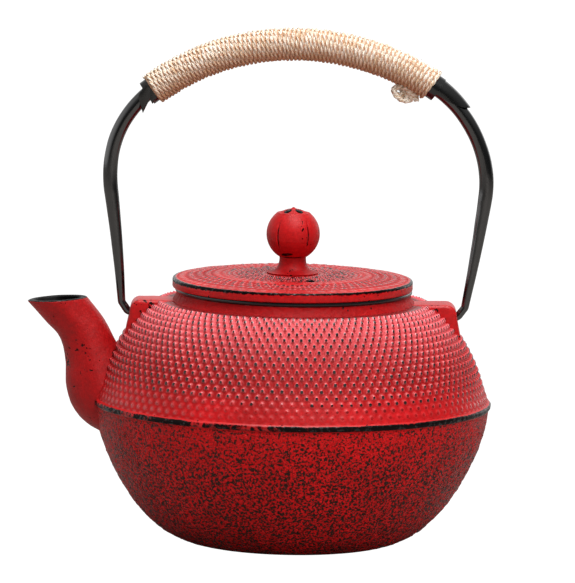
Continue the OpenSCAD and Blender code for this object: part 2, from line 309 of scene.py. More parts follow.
class MeshMaker:
    """Gathers patches into one mesh, orients each closed patch outwards and links the object."""

    def __init__(self, name: str) -> None:
        """Starts an empty mesh of the given name."""
        self.name = name
        self.patches: list[Patch] = []

    def add(self, patch: Patch) -> "MeshMaker":
        """Adds one patch and returns the maker, so that calls can be chained."""
        self.patches.append(patch)
        return self

    @staticmethod
    def _volume(points: Array, quads: Array) -> float:
        """Signed volume under the quads, from the sum of the tetrahedra to the origin."""
        a, b, c, d = (points[quads[:, k]] for k in range(4))
        return float(np.sum(a * (np.cross(b, c) + np.cross(c, d))) / 6.0)

    def _assemble(self, patch: Patch, start: int) -> tuple[Array, Array, Array]:
        """Numbers the quads of one patch and turns its faces outwards.

        Args:
            patch: The patch.
            start: Number of its first point in the mesh.

        Returns:
            Points, quads and the quads' texture corners.
        """
        rows, columns = patch.points.shape[:2]
        points = patch.points.reshape(-1, 3)
        quads = ring_quads(rows, columns)
        uv = patch.uv
        if uv is None:
            uv = np.stack(np.broadcast_arrays(np.arange(columns + 1)[None, :] / columns,
                                              np.arange(rows)[:, None] / max(rows - 1, 1)), -1)
        wide = uv.shape[1]
        first = np.arange(columns) + wide * np.arange(rows - 1)[:, None]
        corners = np.stack([first, first + 1, first + wide + 1, first + wide], -1)
        corner_uv = uv.reshape(-1, 2)[corners.reshape(-1, 4)]
        if self._volume(points, quads) < 0.0:
            quads, corner_uv = quads[:, ::-1], corner_uv[:, ::-1]
        return points, quads + start, corner_uv

    def build(self, materials: Sequence[bpy.types.Material], sharp: float = 180.0) -> Piece:
        """Makes the object from the patches gathered so far.

        Args:
            materials: Materials in the order of the patches' slots.
            sharp: Angle in degrees above which an edge is shaded sharp.

        Returns:
            The new object, at the origin.
        """
        points, quads, corner_uv, slots = [], [], [], []
        layers: dict[str, list[Array]] = {key: [] for p in self.patches for key in p.layers}
        start = 0
        for patch in self.patches:
            some, faces, uv = self._assemble(patch, start)
            points.append(some)
            quads.append(faces)
            corner_uv.append(uv)
            bands = patch.points.shape[0] - 1
            slots.append(np.broadcast_to(patch.slot, (bands, len(faces) // bands)).reshape(-1))
            for key, values in layers.items():
                values.append(np.broadcast_to(patch.layers.get(key, 0.0), patch.points.shape[:2]).reshape(-1))
            start += len(some)
        all_points, all_quads = np.concatenate(points), np.concatenate(quads)
        mesh = bpy.data.meshes.new(self.name)
        mesh.vertices.add(len(all_points))
        mesh.vertices.foreach_set("co", all_points.astype(np.float32).ravel())
        mesh.loops.add(all_quads.size)
        mesh.loops.foreach_set("vertex_index", all_quads.astype(np.int32).ravel())
        mesh.polygons.add(len(all_quads))
        mesh.polygons.foreach_set("loop_start", np.arange(0, all_quads.size, 4, dtype=np.int32))
        mesh.polygons.foreach_set("material_index", np.concatenate(slots).astype(np.int32))
        mesh.polygons.foreach_set("use_smooth", np.ones(len(all_quads), bool))
        layer = mesh.uv_layers.new(name="surface")
        layer.data.foreach_set("uv", np.concatenate(corner_uv).astype(np.float32).ravel())
        for key, values in layers.items():
            attribute = mesh.attributes.new(key, "FLOAT", "POINT")
            attribute.data.foreach_set("value", np.concatenate(values).astype(np.float32))
        mesh.update(calc_edges=True)
        mesh.validate(clean_customdata=False)
        self._close_ends(mesh)
        for material in materials:
            mesh.materials.append(material)
        if sharp < 180.0:
            mesh.set_sharp_from_angle(angle=math.radians(sharp))
        return placed(self.name, mesh)

    @staticmethod
    def _close_ends(mesh: bpy.types.Mesh) -> None:
        """Merges the points of each pole and drops the faces that this leaves without area.

        Args:
            mesh: The mesh to clean.
        """
        work = bmesh.new()
        work.from_mesh(mesh)
        bmesh.ops.remove_doubles(work, verts=work.verts, dist=1e-7)
        bmesh.ops.dissolve_degenerate(work, edges=work.edges, dist=1e-8)
        work.to_mesh(mesh)
        work.free()


# ------------------------------ finishes


class Tree:
    """A node tree, with short calls for the nodes that the finishes and the surroundings share."""

    def __init__(self, tree: bpy.types.NodeTree) -> None:
        """Takes over a tree and empties it."""
        self.tree = tree
        self.tree.nodes.clear()

    def link(self, source: Any, target: Any) -> None:
        """Joins an output to an input, or sets the input where the source is a plain value.

        Args:
            source: Output socket or plain value.
            target: Input socket.
        """
        if isinstance(source, bpy.types.NodeSocket):
            self.tree.links.new(source, target)
        else:
            target.default_value = source

    def fill(self, node: Any, inputs: dict[Any, Any]) -> Any:
        """Sets or links some of a node's inputs.

        Args:
            node: The node.
            inputs: Values by number or by name, with an underscore for a space.

        Returns:
            The node.
        """
        for key, value in inputs.items():
            self.link(value, node.inputs[key.replace("_", " ") if isinstance(key, str) else key])
        return node

    def node(self, kind: str, **inputs: Any) -> Any:
        """New node of the given type, with some of its inputs set or linked."""
        return self.fill(self.tree.nodes.new(kind), inputs)

    def math(self, operation: str, *values: Any) -> Any:
        """Result of a Math node.

        Args:
            operation: Name of the operation.
            values: Sockets or plain values.

        Returns:
            The result's socket.
        """
        node = self.node("ShaderNodeMath")
        node.operation = operation
        return self.fill(node, dict(enumerate(values))).outputs[0]

    def ramp(self, value: Any, low: float, high: float, top: float = 1.0, kind: str = "LINEAR") -> Any:
        """Rise from 0 at low to the top at high.

        Args:
            value: Socket to map.
            low: Value that gives 0.
            high: Value that gives the top.
            top: The highest result.
            kind: Form of the rise.

        Returns:
            The result's socket.
        """
        node = self.node("ShaderNodeMapRange", Value=value, From_Min=low, From_Max=high, To_Max=top)
        node.interpolation_type = kind
        return node.outputs["Result"]

    def step(self, value: Any, low: float, high: float) -> Any:
        """Smooth rise from 0 at low to 1 at high."""
        return self.ramp(value, low, high, 1.0, "SMOOTHSTEP")

    def fall(self, value: Any, low: float, high: float) -> Any:
        """Smooth fall from 1 at low to 0 at high."""
        return self.math("SUBTRACT", 1.0, self.step(value, low, high))

    def times(self, *values: Any) -> Any:
        """Product of any number of sockets and plain values, from left to right."""
        return reduce(lambda product, value: self.math("MULTIPLY", product, value), values)

    def scaled(self, value: Any, factor: float, start: Any) -> Any:
        """The value times the factor, added to the start."""
        return self.math("MULTIPLY_ADD", value, factor, start)

    def split(self, vector: Any) -> tuple[Any, Any, Any]:
        """Sockets of the X, Y and Z of a vector."""
        return tuple(self.node("ShaderNodeSeparateXYZ", Vector=vector).outputs)

    def cover(self, share: Any, first: Any, second: Any) -> Any:
        """Blend of two shaders: first where share is 0, second where it is 1."""
        return self.fill(self.node("ShaderNodeMixShader"), {0: share, 1: first, 2: second}).outputs[0]


class Graph(Tree):
    """A material's node tree, with one Principled shader."""

    def __init__(self, name: str) -> None:
        """Makes a material with an output and one Principled shader.

        Args:
            name: Name of the material.
        """
        self.material = bpy.data.materials.new(name)
        self.material.use_nodes = True
        super().__init__(self.material.node_tree)
        self.shader = self.node("ShaderNodeBsdfPrincipled")
        self.output = self.node("ShaderNodeOutputMaterial", Surface=self.shader.outputs[0])
        self.place = self.node("ShaderNodeTexCoord").outputs["Object"]

    def noise(self, size: float, detail: float = 2.0, rough: float = 0.5, bend: float = 0.0,
              vector: Any = None, stretch: Sequence[float] | None = None) -> Any:
        """Noise of a given feature size in metres, 0 to 1.

        Args:
            size: Width of one feature.
            detail: Octaves of finer noise.
            rough: Share of the finer octaves.
            bend: How far the pattern is warped.
            vector: Coordinates to use in place of the object's own.
            stretch: Factors on the three coordinates, if any.

        Returns:
            The noise's output socket.
        """
        source = self.place if vector is None else vector
        if stretch is not None:
            source = self.node("ShaderNodeMapping", Vector=source, Scale=stretch).outputs[0]
        return self.node("ShaderNodeTexNoise", Vector=source, Scale=1.0 / size, Detail=detail,
                         Roughness=rough, Distortion=bend).outputs["Fac"]

    def mix(self, share: Any, first: Any, second: Any) -> Any:
        """Blend of two colours: first where share is 0, second where it is 1.

        Args:
            share: Share of the second colour.
            first: First colour.
            second: Second colour.

        Returns:
            The blend's socket.
        """
        node = self.node("ShaderNodeMix")
        node.data_type = "RGBA"
        colours = [number for number, socket in enumerate(node.inputs) if socket.type == "RGBA"]
        self.fill(node, {0: share, colours[0]: first, colours[1]: second})
        return [socket for socket in node.outputs if socket.type == "RGBA"][0]

    def layer(self, name: str) -> Any:
        """Value of a mesh attribute.

        Args:
            name: Name of the attribute.

        Returns:
            The value's socket.
        """
        node = self.node("ShaderNodeAttribute")
        node.attribute_name = name
        return node.outputs["Fac"]

    def own_uv(self) -> Any:
        """The piece's own texture coordinates.

        Returns:
            The coordinates' socket.
        """
        node = self.node("ShaderNodeUVMap")
        node.uv_map = "surface"
        return node.outputs[0]

    def bump(self, height: Any, depth: float, strength: float = 1.0) -> None:
        """Adds relief of the given depth in metres to the shader's normal."""
        relief = self.node("ShaderNodeBump", Height=height, Distance=depth, Strength=strength)
        self.link(relief.outputs[0], self.shader.inputs["Normal"])

    def set(self, **values: Any) -> None:
        """Sets or links the shader's inputs."""
        self.fill(self.shader, values)


def paint(red: int, green: int, blue: int) -> Colour:
    """A colour in the linear values that shaders take: c / 12.92, or ((c + 0.055) / 1.055)^2.4 above 0.04.

    Args:
        red: Red as a screen value, 0 to 255.
        green: Green as a screen value.
        blue: Blue as a screen value.

    Returns:
        The three linear values and 1.
    """
    screen = [value / 255.0 for value in (red, green, blue)]
    linear = [c / 12.92 if c <= 0.04045 else ((c + 0.055) / 1.055) ** 2.4 for c in screen]
    return (linear[0], linear[1], linear[2], 1.0)


def darker(colour: Colour, share: float) -> Colour:
    """The colour with only a share of its brightness."""
    return (share * colour[0], share * colour[1], share * colour[2], 1.0)


class Wear(Enum):
    """Where the red enamel is rubbed through to black."""

    STUD_TIPS = "tips of the studs"
    SPECKLED = "winding specks all over"
    EDGES = "raised edges"
    SPARSE = "a few small chips"


@dataclass(frozen=True)
class StudCell:
    """Where a point lies on its stud, as sockets: the stud's number and the offsets from its tip in mm."""

    column: Any
    row: Any
    level: Any
    up: Any
    side: Any
    away: Any


@dataclass(frozen=True)
class RedEnamel:
    """Red enamel over black cast iron, rubbed through in a way that the wear names, with painted shade and
    light.

    On studs the texture coordinates count studs round the piece and rows across them, and every
    other row is moved on by half a stud. The layers "stud", "bare", "shade" and "rub" say how
    strong the studs, the bare tips, the painted shade line above the studs and the wear are.
    """

    name: str
    wear: Wear
    red: Colour = paint(200, 8, 14)
    deep: Colour = paint(168, 4, 8)
    iron: Colour = paint(16, 12, 12)
    # Painted shade: darker red on the ground between the studs and under each stud.
    valley_shade: Colour = paint(140, 4, 7)
    # Painted light: paler red on the ground of the upper rows of studs.
    upper: Colour = paint(246, 112, 120)
    # Painted highlight above each stud's tip.
    painted_highlight: Colour = paint(246, 138, 144)
    # Painted shade: dark red line above the top row of studs, under the collar.
    shaded: Colour = paint(122, 2, 5)
    # Painted shade: dark border round each sunk speck of the cast skin.
    speck_shade: Colour = paint(110, 10, 8)
    chips: float = 0.4
    # Strength of the painted highlight, strength of the painted light on the upper rows, and the highlight's
    # reach above the tip.
    cap: float = 0.9
    lighter: float = 0.7
    highlight_reach: float = 0.75 * MM
    cell_across: float = 4.2 * MM
    cell_up: float = 2.95 * MM
    tip: float = 0.72 * MM
    drop: float = 0.3 * MM
    speck: float = 1.05 * MM
    spot: float = 1.3 * MM
    mottle: float = 1.6 * MM
    cloud: float = 30.0 * MM
    gloss: float = 0.42
    shine: float = 0.4
    grain: float = 1.1 * MM
    relief: float = 0.12 * MM

    def _cell(self, g: Graph) -> StudCell:
        """The stud nearest to each point, and the point's place on it.

        Args:
            g: The material's nodes.

        Returns:
            The place on the stud, as sockets.
        """
        u, v, _ = g.split(g.own_uv())
        row = g.math("FLOOR", g.math("ADD", v, 0.5))
        up = g.scaled(g.math("SUBTRACT", v, row), self.cell_up / MM, self.drop / MM)
        odd = g.math("MODULO", g.math("ADD", row, 100.0), 2.0)
        shifted = g.math("ADD", u, g.times(odd, 0.5))
        column = g.math("FLOOR", g.math("ADD", shifted, 0.5))
        across = g.times(g.math("SUBTRACT", shifted, column), self.cell_across / MM)
        away = g.math("SQRT", g.math("ADD", g.times(up, up), g.times(across, across)))
        return StudCell(column, row, v, up, g.math("ABSOLUTE", across), away)

    def _bare_tip(self, g: Graph, cell: StudCell, ragged: Any) -> Any:
        """Mask of the bare tip: a ragged disc whose size changes from stud to stud.

        Args:
            g: The material's nodes.
            cell: The place on the stud.
            ragged: Noise that frays the edge.

        Returns:
            The mask's socket.
        """
        number = g.node("ShaderNodeCombineXYZ", X=cell.column, Y=cell.row)
        chance = g.node("ShaderNodeTexWhiteNoise", Vector=number.outputs[0])
        size = g.times(g.scaled(chance.outputs["Value"], 0.35, 0.75), self.tip / MM, g.layer("bare"))
        beyond = g.math("SUBTRACT", g.math("ADD", cell.away, ragged), size)
        return g.times(g.fall(beyond, -0.2, 0.12), g.step(g.layer("stud"), 0.05, 0.5))

    def _highlight_side(self, g: Graph, cell: StudCell, ragged: Any) -> Any:
        """Mask of the painted highlight on the upper side: a roof over the tip, stronger in the upper rows.

        Args:
            g: The material's nodes.
            cell: The place on the stud.
            ragged: Noise that frays the edge.

        Returns:
            The mask's socket.
        """
        ridge = g.math("ADD", g.scaled(cell.side, 1.25, cell.up), g.times(ragged, 0.5))
        roof = g.times(g.step(ridge, 0.0, 0.45), g.fall(ridge, self.highlight_reach / MM, 1.7),
                       g.fall(cell.away, 0.8, 1.65))
        rows = g.scaled(g.step(cell.level, 4.0, 17.0), 0.6, 0.4)
        return g.times(roof, rows, g.step(g.layer("stud"), 0.25, 0.85))

    def _shaded_side(self, g: Graph, cell: StudCell) -> Any:
        """Mask of the painted shade on the lower side and on the ground under it, which lies in the cells of
        the next row.

        Args:
            g: The material's nodes.
            cell: The place on the stud.

        Returns:
            The mask's socket.
        """
        beneath = g.times(g.fall(cell.up, -0.75, -0.25), g.fall(cell.side, 0.6, 1.5))
        further = g.times(g.step(cell.side, 1.2, 1.9), g.step(cell.up, 0.2, 0.9))
        return g.times(g.math("MAXIMUM", beneath, further), g.layer("stud"))

    def _specks(self, g: Graph, size: float, low: float, high: float) -> Any:
        """Short winding specks of the given width, denser in some places, where the layer asks for them.

        Args:
            g: The material's nodes.
            size: Width of a speck.
            low: Noise level at which a speck begins.
            high: Noise level at which it is full.

        Returns:
            The mask's socket.
        """
        rub = g.layer("rub")
        winding = g.math("SUBTRACT", g.noise(size, 1.5, 0.5, 0.5), 0.035)
        level = g.scaled(g.noise(9 * MM, 2.0, 0.5), 0.07, winding)
        level = g.scaled(rub, 0.09, g.math("SUBTRACT", level, 0.09))
        return g.times(g.step(level, low, high), g.step(rub, 0.0, 0.15))

    def _studs(self, g: Graph, red: Any, rough: Any) -> tuple[Any, Any, Any, Any]:
        """Studs: painted shade between and under them, painted highlights above, bare tips, and more shine
        near each tip.

        Args:
            g: The material's nodes.
            red: Colour of the plain enamel.
            rough: Roughness of the plain enamel.

        Returns:
            Colour, mask of the wear, roughness and shine.
        """
        cell = self._cell(g)
        ragged = g.scaled(g.noise(0.7 * MM, 2.0, 0.6), 0.5, -0.25)
        # Painted light: paler ground on the upper rows.
        high = g.times(g.step(cell.level, 5.0, 16.0), self.lighter)
        # Painted shade between and under the studs.
        between = g.times(g.step(cell.away, 0.7, 1.6), g.times(g.layer("stud"), 0.75))
        between = g.times(between, g.math("SUBTRACT", 1.0, high))
        ground = g.math("MAXIMUM", between, g.times(self._shaded_side(g, cell), 0.9))
        red = g.mix(ground, g.mix(high, red, self.upper), self.valley_shade)
        # Painted highlight above the tip.
        red = g.mix(g.times(self._highlight_side(g, cell, ragged), self.cap), red, self.painted_highlight)
        # Painted shade line above the top row, under the collar.
        red = g.mix(g.layer("shade"), red, self.shaded)
        worn = g.math("MAXIMUM", self._bare_tip(g, cell, ragged), self._specks(g, self.spot, 0.55, 0.58))
        far = g.step(cell.away, 0.2, 1.9)
        return red, worn, g.scaled(far, 0.3, rough), g.scaled(far, -0.7 * self.shine, self.shine)

    def _speckled(self, g: Graph, red: Any) -> tuple[Any, Any]:
        """Cast skin: colour with a painted shade border round each sunk speck, and the mask of the specks."""
        border = g.times(self._specks(g, self.speck, 0.41, 0.54), 0.8)
        return g.mix(border, red, self.speck_shade), self._specks(g, self.speck, 0.505, 0.555)

    def _edges(self, g: Graph) -> tuple[Any, Any]:
        """Raised edges: mask of the ragged wear and the chips, and the shine, dull there but for glints.

        Args:
            g: The material's nodes.

        Returns:
            Sockets of the mask and the shine.
        """
        ragged = g.scaled(g.noise(1.8 * MM, 3.0, 0.6, 0.4), 0.9, -0.45)
        chance = g.times(g.noise(1.3 * MM, 1.0, 0.4), g.noise(11 * MM, 2.0, 0.5))
        worn = g.math("MAXIMUM", g.step(g.math("ADD", g.layer("rub"), ragged), 0.42, 0.62),
                      g.step(chance, self.chips, self.chips + 0.02))
        dull = g.math("SUBTRACT", worn, g.step(g.noise(1.7 * MM, 2.0, 0.6), 0.55, 0.6))
        return worn, g.scaled(g.math("MAXIMUM", dull, 0.0), -0.85 * self.shine, self.shine)

    def material(self) -> bpy.types.Material:
        """Builds the material: mottled red, a black mask for the wear, and fine relief.

        Returns:
            The material.
        """
        g = Graph(self.name)
        fine = g.noise(self.mottle, 4.0, 0.65)
        tone = g.scaled(fine, 0.5, g.times(g.noise(self.cloud, 3.0, 0.55), 0.5))
        red = g.mix(g.step(tone, 0.36, 0.64), self.deep, self.red)
        rough, shine = g.scaled(fine, 0.16, self.gloss - 0.08), self.shine
        if self.wear is Wear.STUD_TIPS:
            red, worn, rough, shine = self._studs(g, red, rough)
        elif self.wear is Wear.SPECKLED:
            red, worn = self._speckled(g, red)
        elif self.wear is Wear.EDGES:
            worn, shine = self._edges(g)
        else:
            worn = g.step(g.times(g.noise(1.5 * MM, 2.0, 0.5), g.noise(7 * MM, 2.0, 0.5)), 0.42, 0.47)
        g.set(Base_Color=g.mix(worn, red, self.iron), Roughness=g.scaled(worn, -0.12, rough),
              Specular_IOR_Level=shine)
        g.bump(g.scaled(worn, -0.3, g.noise(self.grain, 3.0, 0.6)), self.relief, 0.8)
        return g.material


@dataclass(frozen=True)
class BlackIron:
    """Black coating on iron or steel, from satin to gloss."""

    name: str
    gloss: float = 0.25
    colour: Colour = paint(14, 14, 15)
    grain: float = 1.5 * MM
    index: float = 1.5

    def material(self) -> bpy.types.Material:
        """Builds the material: near-black with faint unevenness in colour, gloss and surface.

        Returns:
            The material.
        """
        g = Graph(self.name)
        fine = g.noise(self.grain, 3.0, 0.6)
        broad = g.noise(14 * MM, 2.0, 0.5)
        g.set(Base_Color=g.mix(fine, darker(self.colour, 0.55), self.colour),
              Roughness=g.scaled(broad, 0.14, self.gloss - 0.05), IOR=self.index)
        g.bump(g.scaled(broad, 0.6, g.times(fine, 0.25)), 0.15 * MM, 0.5)
        return g.material


@dataclass(frozen=True)
class Twine:
    """Natural bast twine: pale fibres, darker streaks along each strand, painted brown shade underneath."""

    name: str = "natural twine"
    pale: Colour = paint(244, 236, 224)
    tan: Colour = paint(208, 178, 144)
    # Brown of the dark spots in the fibres and of the painted shade underneath and between the turns.
    brown: Colour = paint(172, 116, 78)

    def material(self) -> bpy.types.Material:
        """Builds the material: streaks drawn out along the strand, over slow changes of tone.

        Returns:
            The material.
        """
        g = Graph(self.name)
        streak = g.noise(0.16, 3.0, 0.7, 0.0, g.own_uv(), (1.0, 0.03, 1.0))
        tone = g.noise(6 * MM, 3.0, 0.6)
        both = g.scaled(streak, 0.8, g.times(tone, 0.2))
        fibre = g.mix(g.step(both, 0.42, 0.56), self.tan, self.pale)
        gap = g.noise(0.8 * MM, 2.0, 0.6, 0.3)
        fibre = g.mix(g.times(g.step(gap, 0.55, 0.63), 0.7), fibre, self.brown)
        # Painted shade: browner where the layer "under" says, on the underside of each turn and on the ground
        # between turns.
        under = g.times(g.step(g.scaled(streak, 0.3, g.layer("under")), 0.35, 1.15), 0.85)
        g.set(Base_Color=g.mix(under, fibre, self.brown), Roughness=0.88, Specular_IOR_Level=0.2)
        g.bump(streak, 0.25 * MM, 0.9)
        return g.material


@dataclass(frozen=True)
class Stainless:
    """Satin stainless steel sheet."""

    name: str = "satin stainless"
    tint: Colour = paint(205, 207, 210)

    def material(self) -> bpy.types.Material:
        """Builds the material: metal with fine brushing round the axis.

        Returns:
            The material.
        """
        g = Graph(self.name)
        lines = g.noise(0.8 * MM, 3.0, 0.7, 0.0, None, (0.25, 0.25, 3.0))
        g.set(Base_Color=g.mix(lines, darker(self.tint, 0.86), self.tint),
              Roughness=g.scaled(lines, 0.18, 0.24), Metallic=1.0)
        g.bump(lines, 0.03 * MM, 0.4)
        return g.material


# ------------------------------ pot


@dataclass
class Pot:
    """The pot: one casting with hobnails above the waist and a rough skin below it."""

    waist_r: float = 85.0 * MM
    waist_z: float = 61.0 * MM
    base_r: float = 38.0 * MM
    collar_r: float = 51.6 * MM
    shoulder_z: float = 104.4 * MM
    wall: float = 3.2 * MM
    skin: float = 1.6 * MM
    collar_top_z: float = 110.4 * MM
    rim_r: float = 50.6 * MM
    recess_r: float = 46.8 * MM
    mouth_r: float = 43.5 * MM
    ledge_z: float = 104.5 * MM
    studs_round: int = 120
    stud_rows: int = 17
    row_step: float = 2.95 * MM
    first_row: float = 4.42 * MM
    stud_h: float = 1.45 * MM
    stud_r: float = 1.55 * MM
    stud_foot: float = 0.6 * MM
    samples: int = 8
    curve_points: int = 400
    skin_rows: int = 96
    skin_columns: int = 640
    band_columns: int = 720
    band_h: float = 2.4 * MM
    band_proud: float = 0.9 * MM
    bead_h: float = 1.8 * MM
    bead_proud: float = 0.5 * MM

    def belly(self, count: int) -> Array:
        """Radius and height from the base's edge to the waist, along one cubic curve.

        Args:
            count: Number of points.

        Returns:
            The evenly spaced points.
        """
        r, z = self.waist_r, self.waist_z
        control = [[self.base_r, 0.0], [self.base_r + 28.7 * MM, 0.8 * MM], [r, z - 16.6 * MM], [r, z]]
        return resample(bezier(control, np.linspace(0, 1, self.curve_points)), count)

    def shoulder(self, count: int) -> Array:
        """Radius and height from the waist to the foot of the collar, along one cubic curve.

        Args:
            count: Number of points.

        Returns:
            The evenly spaced points.
        """
        r, z, top = self.waist_r, self.waist_z, self.shoulder_z
        control = [[r, z], [r, z + 1.6 * MM],
                   [self.collar_r + 18.6 * MM, top + 2.6 * MM], [self.collar_r, top]]
        return resample(bezier(control, np.linspace(0, 1, self.curve_points)), count)

    def _stud_relief(self, along: Array, radius: Array, columns: int) -> tuple[Array, Array]:
        """Height of the hobnails: the tallest of the round cones that stand on a staggered lattice.

        Args:
            along: Distance above the waist of each row of points.
            radius: Radius of each row of points.
            columns: Number of points round each row.

        Returns:
            The relief and the studs' strength, both rows x columns.
        """
        row = (along - self.first_row) / self.row_step
        turn = np.arange(columns) * self.studs_round / columns
        cell = TAU * radius / self.studs_round
        relief = np.zeros((len(along), columns))
        for k in (np.floor(row), np.floor(row) + 1):
            lean = np.where(k % 2 == 0, 0.0, 0.5)
            off = turn[None, :] + lean[:, None]
            across = (off - np.round(off)) * cell[:, None]
            up = ((row - k) * self.row_step)[:, None]
            exists = ((k >= 0) & (k < self.stud_rows))[:, None]
            relief = np.maximum(relief, np.clip(1 - np.hypot(across, up) / self.stud_r, 0, 1) * exists)
        strength = np.broadcast_to((0.2 + 0.8 * smooth(-0.5, 5.5, row))[:, None], relief.shape)
        rounded = relief * (1.0 + 0.15 * (1.0 - relief))
        return rounded * strength * self.stud_h, strength

    def hobnails(self) -> Patch:
        """Shell of the shoulder: the curve revolved, moved out along its normals by the studs.

        Returns:
            The closed patch.
        """
        dense = self.shoulder(1500)
        length = float(np.sum(np.linalg.norm(np.diff(dense, axis=0), axis=1)))
        along = np.arange(self.stud_foot, length, self.row_step / self.samples)
        walked = np.linspace(0, length, len(dense))
        line = np.stack([np.interp(along, walked, dense[:, k]) for k in (0, 1)], 1)
        columns = self.studs_round * self.samples
        relief, strength = self._stud_relief(along, line[:, 0], columns)
        normal = outline_normals(line)
        turned, out = revolve(line, columns), revolve(normal, columns)
        rough = lumps(turned, ((1.3 * MM, 0.05 * MM), (5 * MM, 0.08 * MM)), 5)
        outer = turned + out * (relief + rough)[..., None]
        back = line - self.skin * normal
        inner = revolve(np.concatenate([back[::-12], back[:1]]), columns)
        points = np.concatenate([outer, inner, outer[:1]])
        row = (along - self.first_row) / self.row_step
        u = np.arange(columns + 1) / self.samples
        v = np.concatenate([row, np.full(len(inner) + 1, NO_ROW)])
        uv = np.stack(np.broadcast_arrays(u[None, :], v[:, None]), -1)
        more_right = 3.0 * smooth(4 * MM, 18 * MM, turned[..., 0])
        bare = smooth(1.2, 2.9, row[:, None] + more_right + 0.9 * noise(turned, 9 * MM, 9))
        # Painted shade: dark line above the top row of studs, under the collar.
        shade = smooth(16.3, 17.0, row)[:, None] + 0.0 * bare
        none = np.zeros((len(inner) + 1, columns))
        layers = {"stud": strength, "bare": bare, "shade": shade}
        return Patch(points, uv, {name: np.concatenate([value, none]) for name, value in layers.items()})

    def rough_skin(self) -> Patch:
        """Shell of the belly and base: the curve revolved, with lumps that fade towards the waist.

        Returns:
            The closed patch.
        """
        line = self.belly(self.skin_rows)
        line = line[line[:, 1] < self.waist_z - 0.4 * MM]
        base = np.stack([np.linspace(0, self.base_r, 14)[:-1], np.zeros(13)], 1)
        outline = np.concatenate([base, line])
        normal = outline_normals(outline)
        normal[: len(base)] = (0.0, -1.0)
        turned, out = revolve(outline, self.skin_columns), revolve(normal, self.skin_columns)
        height = turned[..., 2]
        share = smooth(0.2 * MM, 3 * MM, height) * (1 - 0.75 * smooth(53 * MM, 57 * MM, height))
        uneven = lumps(turned, ((1.5 * MM, 0.26 * MM), (2.8 * MM, 0.14 * MM), (9 * MM, 0.12 * MM)), 1)
        outer = turned + out * (uneven * share)[..., None]
        inner_line = (outline - self.skin * normal)[::-9]
        inner_line[-1, 0] = 0.0
        inner = revolve(inner_line, self.skin_columns)
        rub = 0.95 - 0.6 * smooth(34 * MM, 59 * MM, height)
        layer = np.concatenate([rub, np.zeros(inner.shape[:2])])
        return Patch(np.concatenate([outer, inner]), None, {"rub": layer})

    def core(self) -> Patch:
        """Inside of the wall: cavity, ledge, recess and collar, down under the two skins.

        Returns:
            The closed patch.
        """
        cut = 0.6 * self.skin
        shoulder, belly = self.shoulder(60), self.belly(60)
        whole = np.concatenate([belly[:-1], shoulder])
        normal = outline_normals(whole)
        inner = whole - self.wall * normal
        floor_z = self.wall + 0.6 * MM
        below_ledge = inner[:, 1] < self.ledge_z - 2.4 * MM
        inner = inner[(inner[:, 1] > floor_z) & (inner[:, 0] > self.mouth_r) & below_ledge]
        top, rim = self.collar_top_z, self.rim_r
        mouth = np.array([
            [self.mouth_r, inner[-1, 1]], [self.mouth_r, self.ledge_z - 0.4 * MM],
            [self.mouth_r + 0.4 * MM, self.ledge_z], [self.recess_r - 0.3 * MM, self.ledge_z],
            [self.recess_r, self.ledge_z + 0.3 * MM], [self.recess_r, top - 0.5 * MM],
            [self.recess_r + 0.5 * MM, top], [rim - 0.4 * MM, top],
        ])
        a = np.linspace(math.pi / 2, -math.pi / 2, 9)
        bead = np.stack([rim + self.bead_proud * np.cos(a), top - self.bead_h / 2 * (1 - np.sin(a))], 1)
        collar = bezier([[rim - 0.1 * MM, top - self.bead_h - 0.2 * MM], [rim - 0.1 * MM, top - 3.4 * MM],
                         [self.collar_r - 0.3 * MM, self.shoulder_z + 1.8 * MM],
                         [self.collar_r + 0.9 * MM, self.shoulder_z - 0.4 * MM]], np.linspace(0, 1, 14))
        under = (whole - cut * normal)[::-1][3:]
        start = np.array([[0.0, floor_z], [self.base_r * 0.5, floor_z], [self.base_r, floor_z]])
        outline = np.concatenate([start, inner, mouth, bead, collar, under, [[0.0, cut]]])
        points = revolve(outline, self.skin_columns)
        first_bead = len(start) + len(inner) + len(mouth)
        first_red = first_bead + len(bead)
        face = points[first_red: first_red + len(collar)]
        uneven = lumps(face, ((1.2 * MM, 0.16 * MM), (4 * MM, 0.08 * MM)), 7)
        face += revolve(outline_normals(collar), self.skin_columns) * uneven[..., None]
        slots = np.full((len(outline) - 1, self.skin_columns), 1)
        slots[first_red:] = 0
        slots[first_bead - 1: first_red] = 2
        return Patch(points, slot=slots)

    def band(self) -> Patch:
        """Raised band round the waist, with worn edges: a closed outline revolved and roughened.

        Returns:
            The closed patch.
        """
        r, z, half = self.waist_r, self.waist_z, self.band_h / 2
        out = r + self.band_proud
        outline = np.array([
            [r - 1.2 * MM, z - half], [r - 0.1 * MM, z - half - 0.5 * MM],
            [r + 0.2 * MM, z - half - 0.1 * MM], [out - 0.35 * MM, z - half + 0.05 * MM],
            [out - 0.05 * MM, z - half + 0.4 * MM], [out, z - 0.2 * MM],
            [out - 0.05 * MM, z + half - 0.55 * MM], [out - 0.3 * MM, z + half - 0.15 * MM],
            [r + 0.1 * MM, z + half + 0.05 * MM], [r - 0.25 * MM, z + half + 0.5 * MM],
            [r - 1.2 * MM, z + half], [r - 1.2 * MM, z - half],
        ])
        points = revolve(outline, self.band_columns)
        face = np.array([0, 0, 0.5, 1, 1, 1, 1, 0.8, 0.2, 0, 0, 0])[:, None]
        uneven = lumps(points, ((2.2 * MM, 0.16 * MM), (6 * MM, 0.1 * MM)), 11)
        normal = np.concatenate([points[..., :2], np.zeros(points.shape[:2] + (1,))], -1)
        normal /= np.linalg.norm(normal, axis=-1, keepdims=True)
        points = points + normal * (uneven * face)[..., None]
        worn = 0.75 + 0.35 * noise(points, 7 * MM, 13) + 0.25 * smooth(-30 * MM, 60 * MM, points[..., 0])
        rub = 0.12 + 0.74 * face * worn
        return Patch(points, None, {"rub": rub})

